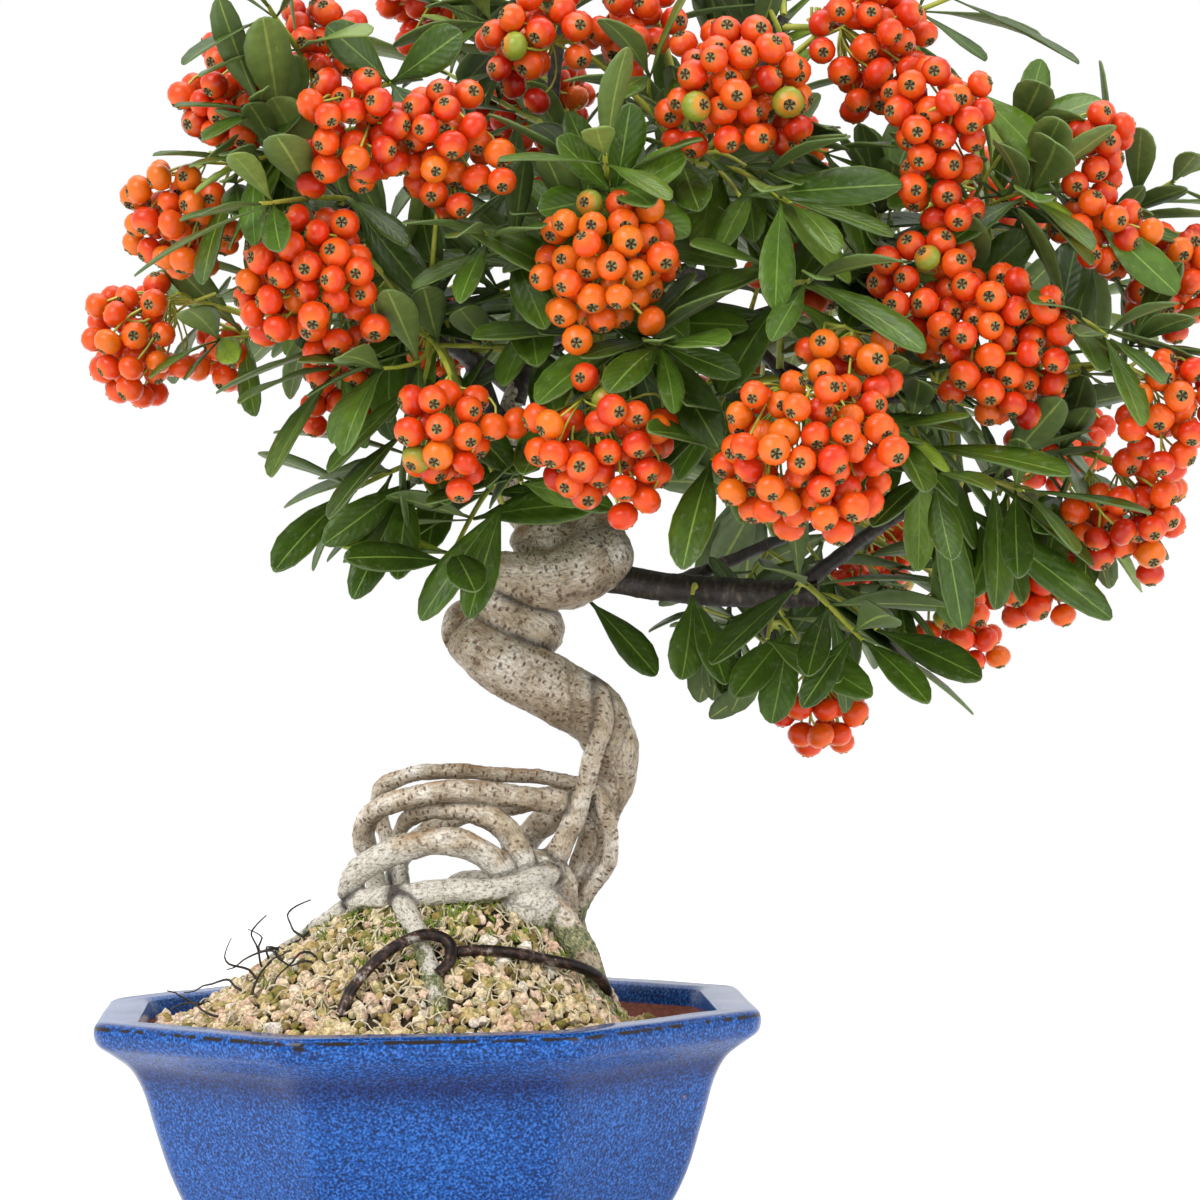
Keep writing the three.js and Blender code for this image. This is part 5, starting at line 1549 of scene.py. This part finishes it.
orangeBunches = {"03": 0.2, "04": 0.08, "07": 0.2, "06": 0.06, "13": 0.1}


# A bunch: a stalk forks into a few arms, and each arm into the pedicels of the berries nearest to it.
def makeBunch(name):
    random = seeded(700 + int(name))
    hub = lumps[firstLump[name], :3]
    start = barkBeside(hub)
    rods, copies = [], []
    for number in [k for k, owner in enumerate(bunchOfLump) if owner == name]:
        middle, radius = lumps[number, :3], lumps[number, 3]
        outward = outwardOf(number)
        fork = middle - outward * radius * 0.75 + np.array([0, 0, 0.4 * radius])
        mine = np.where(berryOwners == number)[0]
        bow = np.array([0, 0, 0.1 * np.linalg.norm(fork - start)])
        rods.append(rod(bezier(start, (start + fork) / 2 + bow, fork, 9), bunchShape["stalk"] * 1.15, 0.75))
        armCount = max(3, len(mine) // 5)
        arms = [fork + unit(outward + 0.75 * random.normal(size=3)) * radius * 0.45 for _ in range(armCount)]
        for arm in arms:
            rods.append(rod(bezier(fork, (fork + arm) / 2 + random.normal(size=3) * 0.6, arm, 5), 0.5, 0.42))
        for index in mine:
            place = berryMiddles[index]
            arm = min(arms, key=lambda other: np.linalg.norm(other - place))
            way = unit(unit(place - fork) + random.normal(size=3) * 0.35 + np.array([0, 0, -0.12]))
            foot = place - way * berryShape["radius"] * berryShape["height"] * 0.9
            bend = foot - way * np.linalg.norm(foot - arm) * 0.45 + random.normal(size=3) * 0.4
            rods.append(rod(bezier(arm, bend, foot, 6), 0.3, bunchShape["pedicel"]))
            copies.append(placeBerry(place, way, random, 0.62 - 1.6 * orangeBunches.get(name, 0)))
    stalks = makeRods("stalks", rods, resolution=0, material=stalkGreen)
    replaced = [f"berry_bunch_{name}"] if name in bunches else []
    settle(joinPieces(f"berryBunch{name}", [stalks, *copies]), "berry", *replaced)


def placeBerry(place, way, random, ripeness):
    copy = copyOf(berryPattern)
    size = berryShape["radius"] * (0.87 + 0.17 * random.random())
    spin = Matrix.Rotation(random.random() * 6.28, 3, "Z")
    coords = berryCoords @ np.array(spin).T * size @ turnTo(way).T + place
    setBenchCoords(copy.data, coords)
    tone = np.clip(ripeness + 0.16 * random.normal(), 0.22, 1)
    if random.random() < 0.012:
        tone = 0.03
    storeFloats(copy.data, "tone", np.full(len(coords), tone))
    return copy


for name in allBunches:
    makeBunch(name)
bpy.data.objects.remove(berryPattern)
print("bunches hung")


# Grains of baked clay and pumice lie on the mound, from fine to coarse.
grainShape = {
    "patterns": 4, "count": 2700, "least": 1.0, "most": 2.3, "seed": 91, "tries": 60000, "reach": 67,
    "edge": 66.5, "cell": 5, "apart": 0.52, "sunk": 0.6, "lift": 0.9,
}


def makeGrainPatterns():
    patterns = []
    for number in range(grainShape["patterns"]):
        clearSelection()
        bpy.ops.mesh.primitive_ico_sphere_add(subdivisions=2, radius=1, location=(0, 0, 0))
        pebble = bpy.context.object
        random = seeded(310 + number)
        coords = coordsOf(pebble.data)
        for _ in range(7):
            way = unit(random.normal(size=3))
            limit = 0.62 + 0.25 * random.random()
            depth = coords @ way
            coords -= np.outer(np.clip(depth - limit, 0, None), way)
        coords *= 1 + 0.12 * random.normal(size=(len(coords), 1))
        setCoords(pebble.data, coords)
        applyModifier(pebble, "DECIMATE", ratio=0.6)
        pebble.data.materials.append(grainStone)
        bpy.ops.object.shade_smooth_by_angle(angle=math.radians(35))
        patterns.append(pebble)
    return patterns


def scatterGrains():
    shape = grainShape
    random = seeded(shape["seed"])
    places, radii = [], []
    cells = {}
    tries = 0
    while len(places) < shape["count"] and tries < shape["tries"]:
        tries += 1
        x, y = random.uniform(-shape["reach"], shape["reach"], 2)
        if math.hypot(x, y) > shape["edge"] * float(octagonReach(math.atan2(y, x))):
            continue
        size = shape["least"] + (shape["most"] - shape["least"]) * random.random() ** 1.8
        cell = (int(x // shape["cell"]), int(y // shape["cell"]))
        near = [k for i in (-1, 0, 1) for j in (-1, 0, 1) for k in cells.get((cell[0] + i, cell[1] + j), [])]
        apart = [math.hypot(x - places[k][0], y - places[k][1]) for k in near]
        if any(gap < shape["apart"] * (size + radii[k]) for gap, k in zip(apart, near)):
            continue
        cells.setdefault(cell, []).append(len(places))
        places.append([x, y, float(moundHeight(x, y)) - shape["sunk"] + random.random() * shape["lift"]])
        radii.append(size)
    return np.array(places), np.array(radii)


def makeGrains():
    patterns = makeGrainPatterns()
    random = seeded(92)
    places, radii = scatterGrains()
    limbs = [pathThrough(path) for path in [*coils.values(), *roots.values()]]
    limbs += [pathThrough([[*place, wireShape["radius"]] for place in path]) for path in wirePaths.values()]
    depths = np.min(depthsFrom(places, limbs), axis=0)
    copies = []
    for place, radius, depth in zip(places, radii, depths):
        if depth < 0.2 * radius:
            continue
        copy = copyOf(patterns[random.integers(len(patterns))])
        turn = Quaternion(random.normal(size=4)).normalized().to_matrix()
        scale = radius * (0.8 + 0.45 * random.random(3))
        coords = coordsOf(copy.data) * scale @ np.array(turn).T + place
        setBenchCoords(copy.data, coords)
        storeFloats(copy.data, "tone", np.full(len(coords), random.random()))
        copies.append(copy)
    settle(joinPieces("soilGrains", copies), "soil")
    for pattern in patterns:
        bpy.data.objects.remove(pattern)
    print("grains laid", len(copies))


makeGrains()


# Moss stands in small tufts near the roots.
mossShape = {
    "tufts": 640, "x": 4, "y": -9, "spread": 16, "narrowing": 0.9, "blades": 5, "blade": 2.2, "foot": 0.32,
    "tip": 0.1,
}


def makeMoss():
    random = seeded(17)
    blades = []
    shape = mossShape
    for _ in range(shape["tufts"]):
        angle, spread = random.random() * 6.28, abs(random.normal()) * shape["spread"]
        x = shape["x"] + spread * math.cos(angle)
        y = shape["y"] + spread * shape["narrowing"] * math.sin(angle)
        z = float(moundHeight(x, y))
        for _ in range(shape["blades"]):
            way = unit(np.array([random.normal() * 0.6, random.normal() * 0.6, 1]))
            foot = np.array([x, y, z]) + np.array([*random.normal(size=2) * 0.5, 0])
            length = shape["blade"] * (0.5 + random.random())
            points = np.array([foot, foot + way * length * 0.6, foot + way * length])
            blades.append(rod(points, shape["foot"], shape["tip"]))
    moss = makeRods("mossTufts", blades, resolution=0, material=mossGreen)
    return settle(moss, "soil")


makeMoss()


# Fine roots run over the grains, and a few dark ones stand out of the mound on the left.
rootletShape = {"pale": 360, "radius": 0.27, "dark": 18}


def makeRootlets():
    random = seeded(23)
    pale, dark = [], []
    for _ in range(rootletShape["pale"]):
        angle, distance = random.random() * 6.28, 10 + 46 * random.random()
        x, y = 2 + distance * math.cos(angle), -4 + distance * math.sin(angle)
        heading, points = random.random() * 6.28, []
        for _ in range(12):
            heading += random.normal() * 0.5
            x, y = x + 1.7 * math.cos(heading), y + 1.7 * math.sin(heading)
            if math.hypot(x, y) > 62:
                break
            points.append([x, y, float(moundHeight(x, y)) + 0.9 + 0.7 * random.normal()])
        if len(points) > 4:
            pale.append(pathThrough(rod(np.array(points), rootletShape["radius"] * 1.3, 0.12), perSpan=2))
    for _ in range(rootletShape["dark"]):
        x, y = -34 + 9 * random.normal(), -6 + 12 * random.normal()
        place = np.array([x, y, float(moundHeight(x, y)) - 0.5])
        way = unit(np.array([-0.8, random.normal() * 0.4, 0.5 + 0.3 * random.normal()]))
        points = [place]
        for _ in range(7):
            way = unit(way + random.normal(size=3) * 0.45 + np.array([0, 0, -0.06]))
            points.append(points[-1] + way * 2.6)
        dark.append(pathThrough(rod(np.array(points), 0.4, 0.15), perSpan=2))
    settle(makeRods("paleRootlets", pale, resolution=0, material=rootlet), "soil")
    settle(makeRods("darkRootlets", dark, resolution=0, material=darkBark), "soil")


makeRootlets()
bpy.data.objects.remove(leafPattern)
print("soil dressed")


# Studio: a pale floor under soft white light from the upper left.
def makeStudio():
    clearSelection()
    bpy.ops.mesh.primitive_circle_add(vertices=64, radius=1.3, fill_type="NGON", location=(0, 0, 0))
    floor = bpy.context.object
    floor.name = "paleFloor"
    floor.data.materials.append(makeFloor())
    lights = [
        ("keyLight", (-1.1, -1.3, 1.5), 1.2, 26), ("fillLight", (1.3, -1.2, 0.8), 1.4, 9),
        ("topLight", (0.1, 0.2, 1.7), 1.2, 12),
    ]
    for name, place, size, power in lights:
        bpy.ops.object.light_add(type="AREA", location=place)
        light = bpy.context.object
        light.name = name
        light.data.size = size
        light.data.energy = power
        light.rotation_euler = (Vector((0, 0, 0.2)) - Vector(place)).to_track_quat("-Z", "Y").to_euler()
    world = bpy.data.worlds.new("studioWorld")
    bpy.context.scene.world = world
    world.use_nodes = True
    world.node_tree.nodes["Background"].inputs["Color"].default_value = (1, 1, 1, 1)
    world.node_tree.nodes["Background"].inputs["Strength"].default_value = 1.0
    bpy.context.scene.view_settings.view_transform = "Standard"


# Painted board: a matt, even off-white.
def makeFloor():
    material, tree, place = newMaterial("paleBoard", {"Roughness": 0.9})
    mottle = addNode(tree, "TexNoise", inputs={"Vector": place, "Scale": 9, "Detail": 4})
    ramp = addNode(tree, "ValToRGB", inputs={"Fac": mottle["Fac"]}, stops=[(0.3, "#F9F9F8"), (0.7, "#FCFCFB")])
    return finishMaterial(material, ramp["Color"])


makeStudio()
print("studio lit")
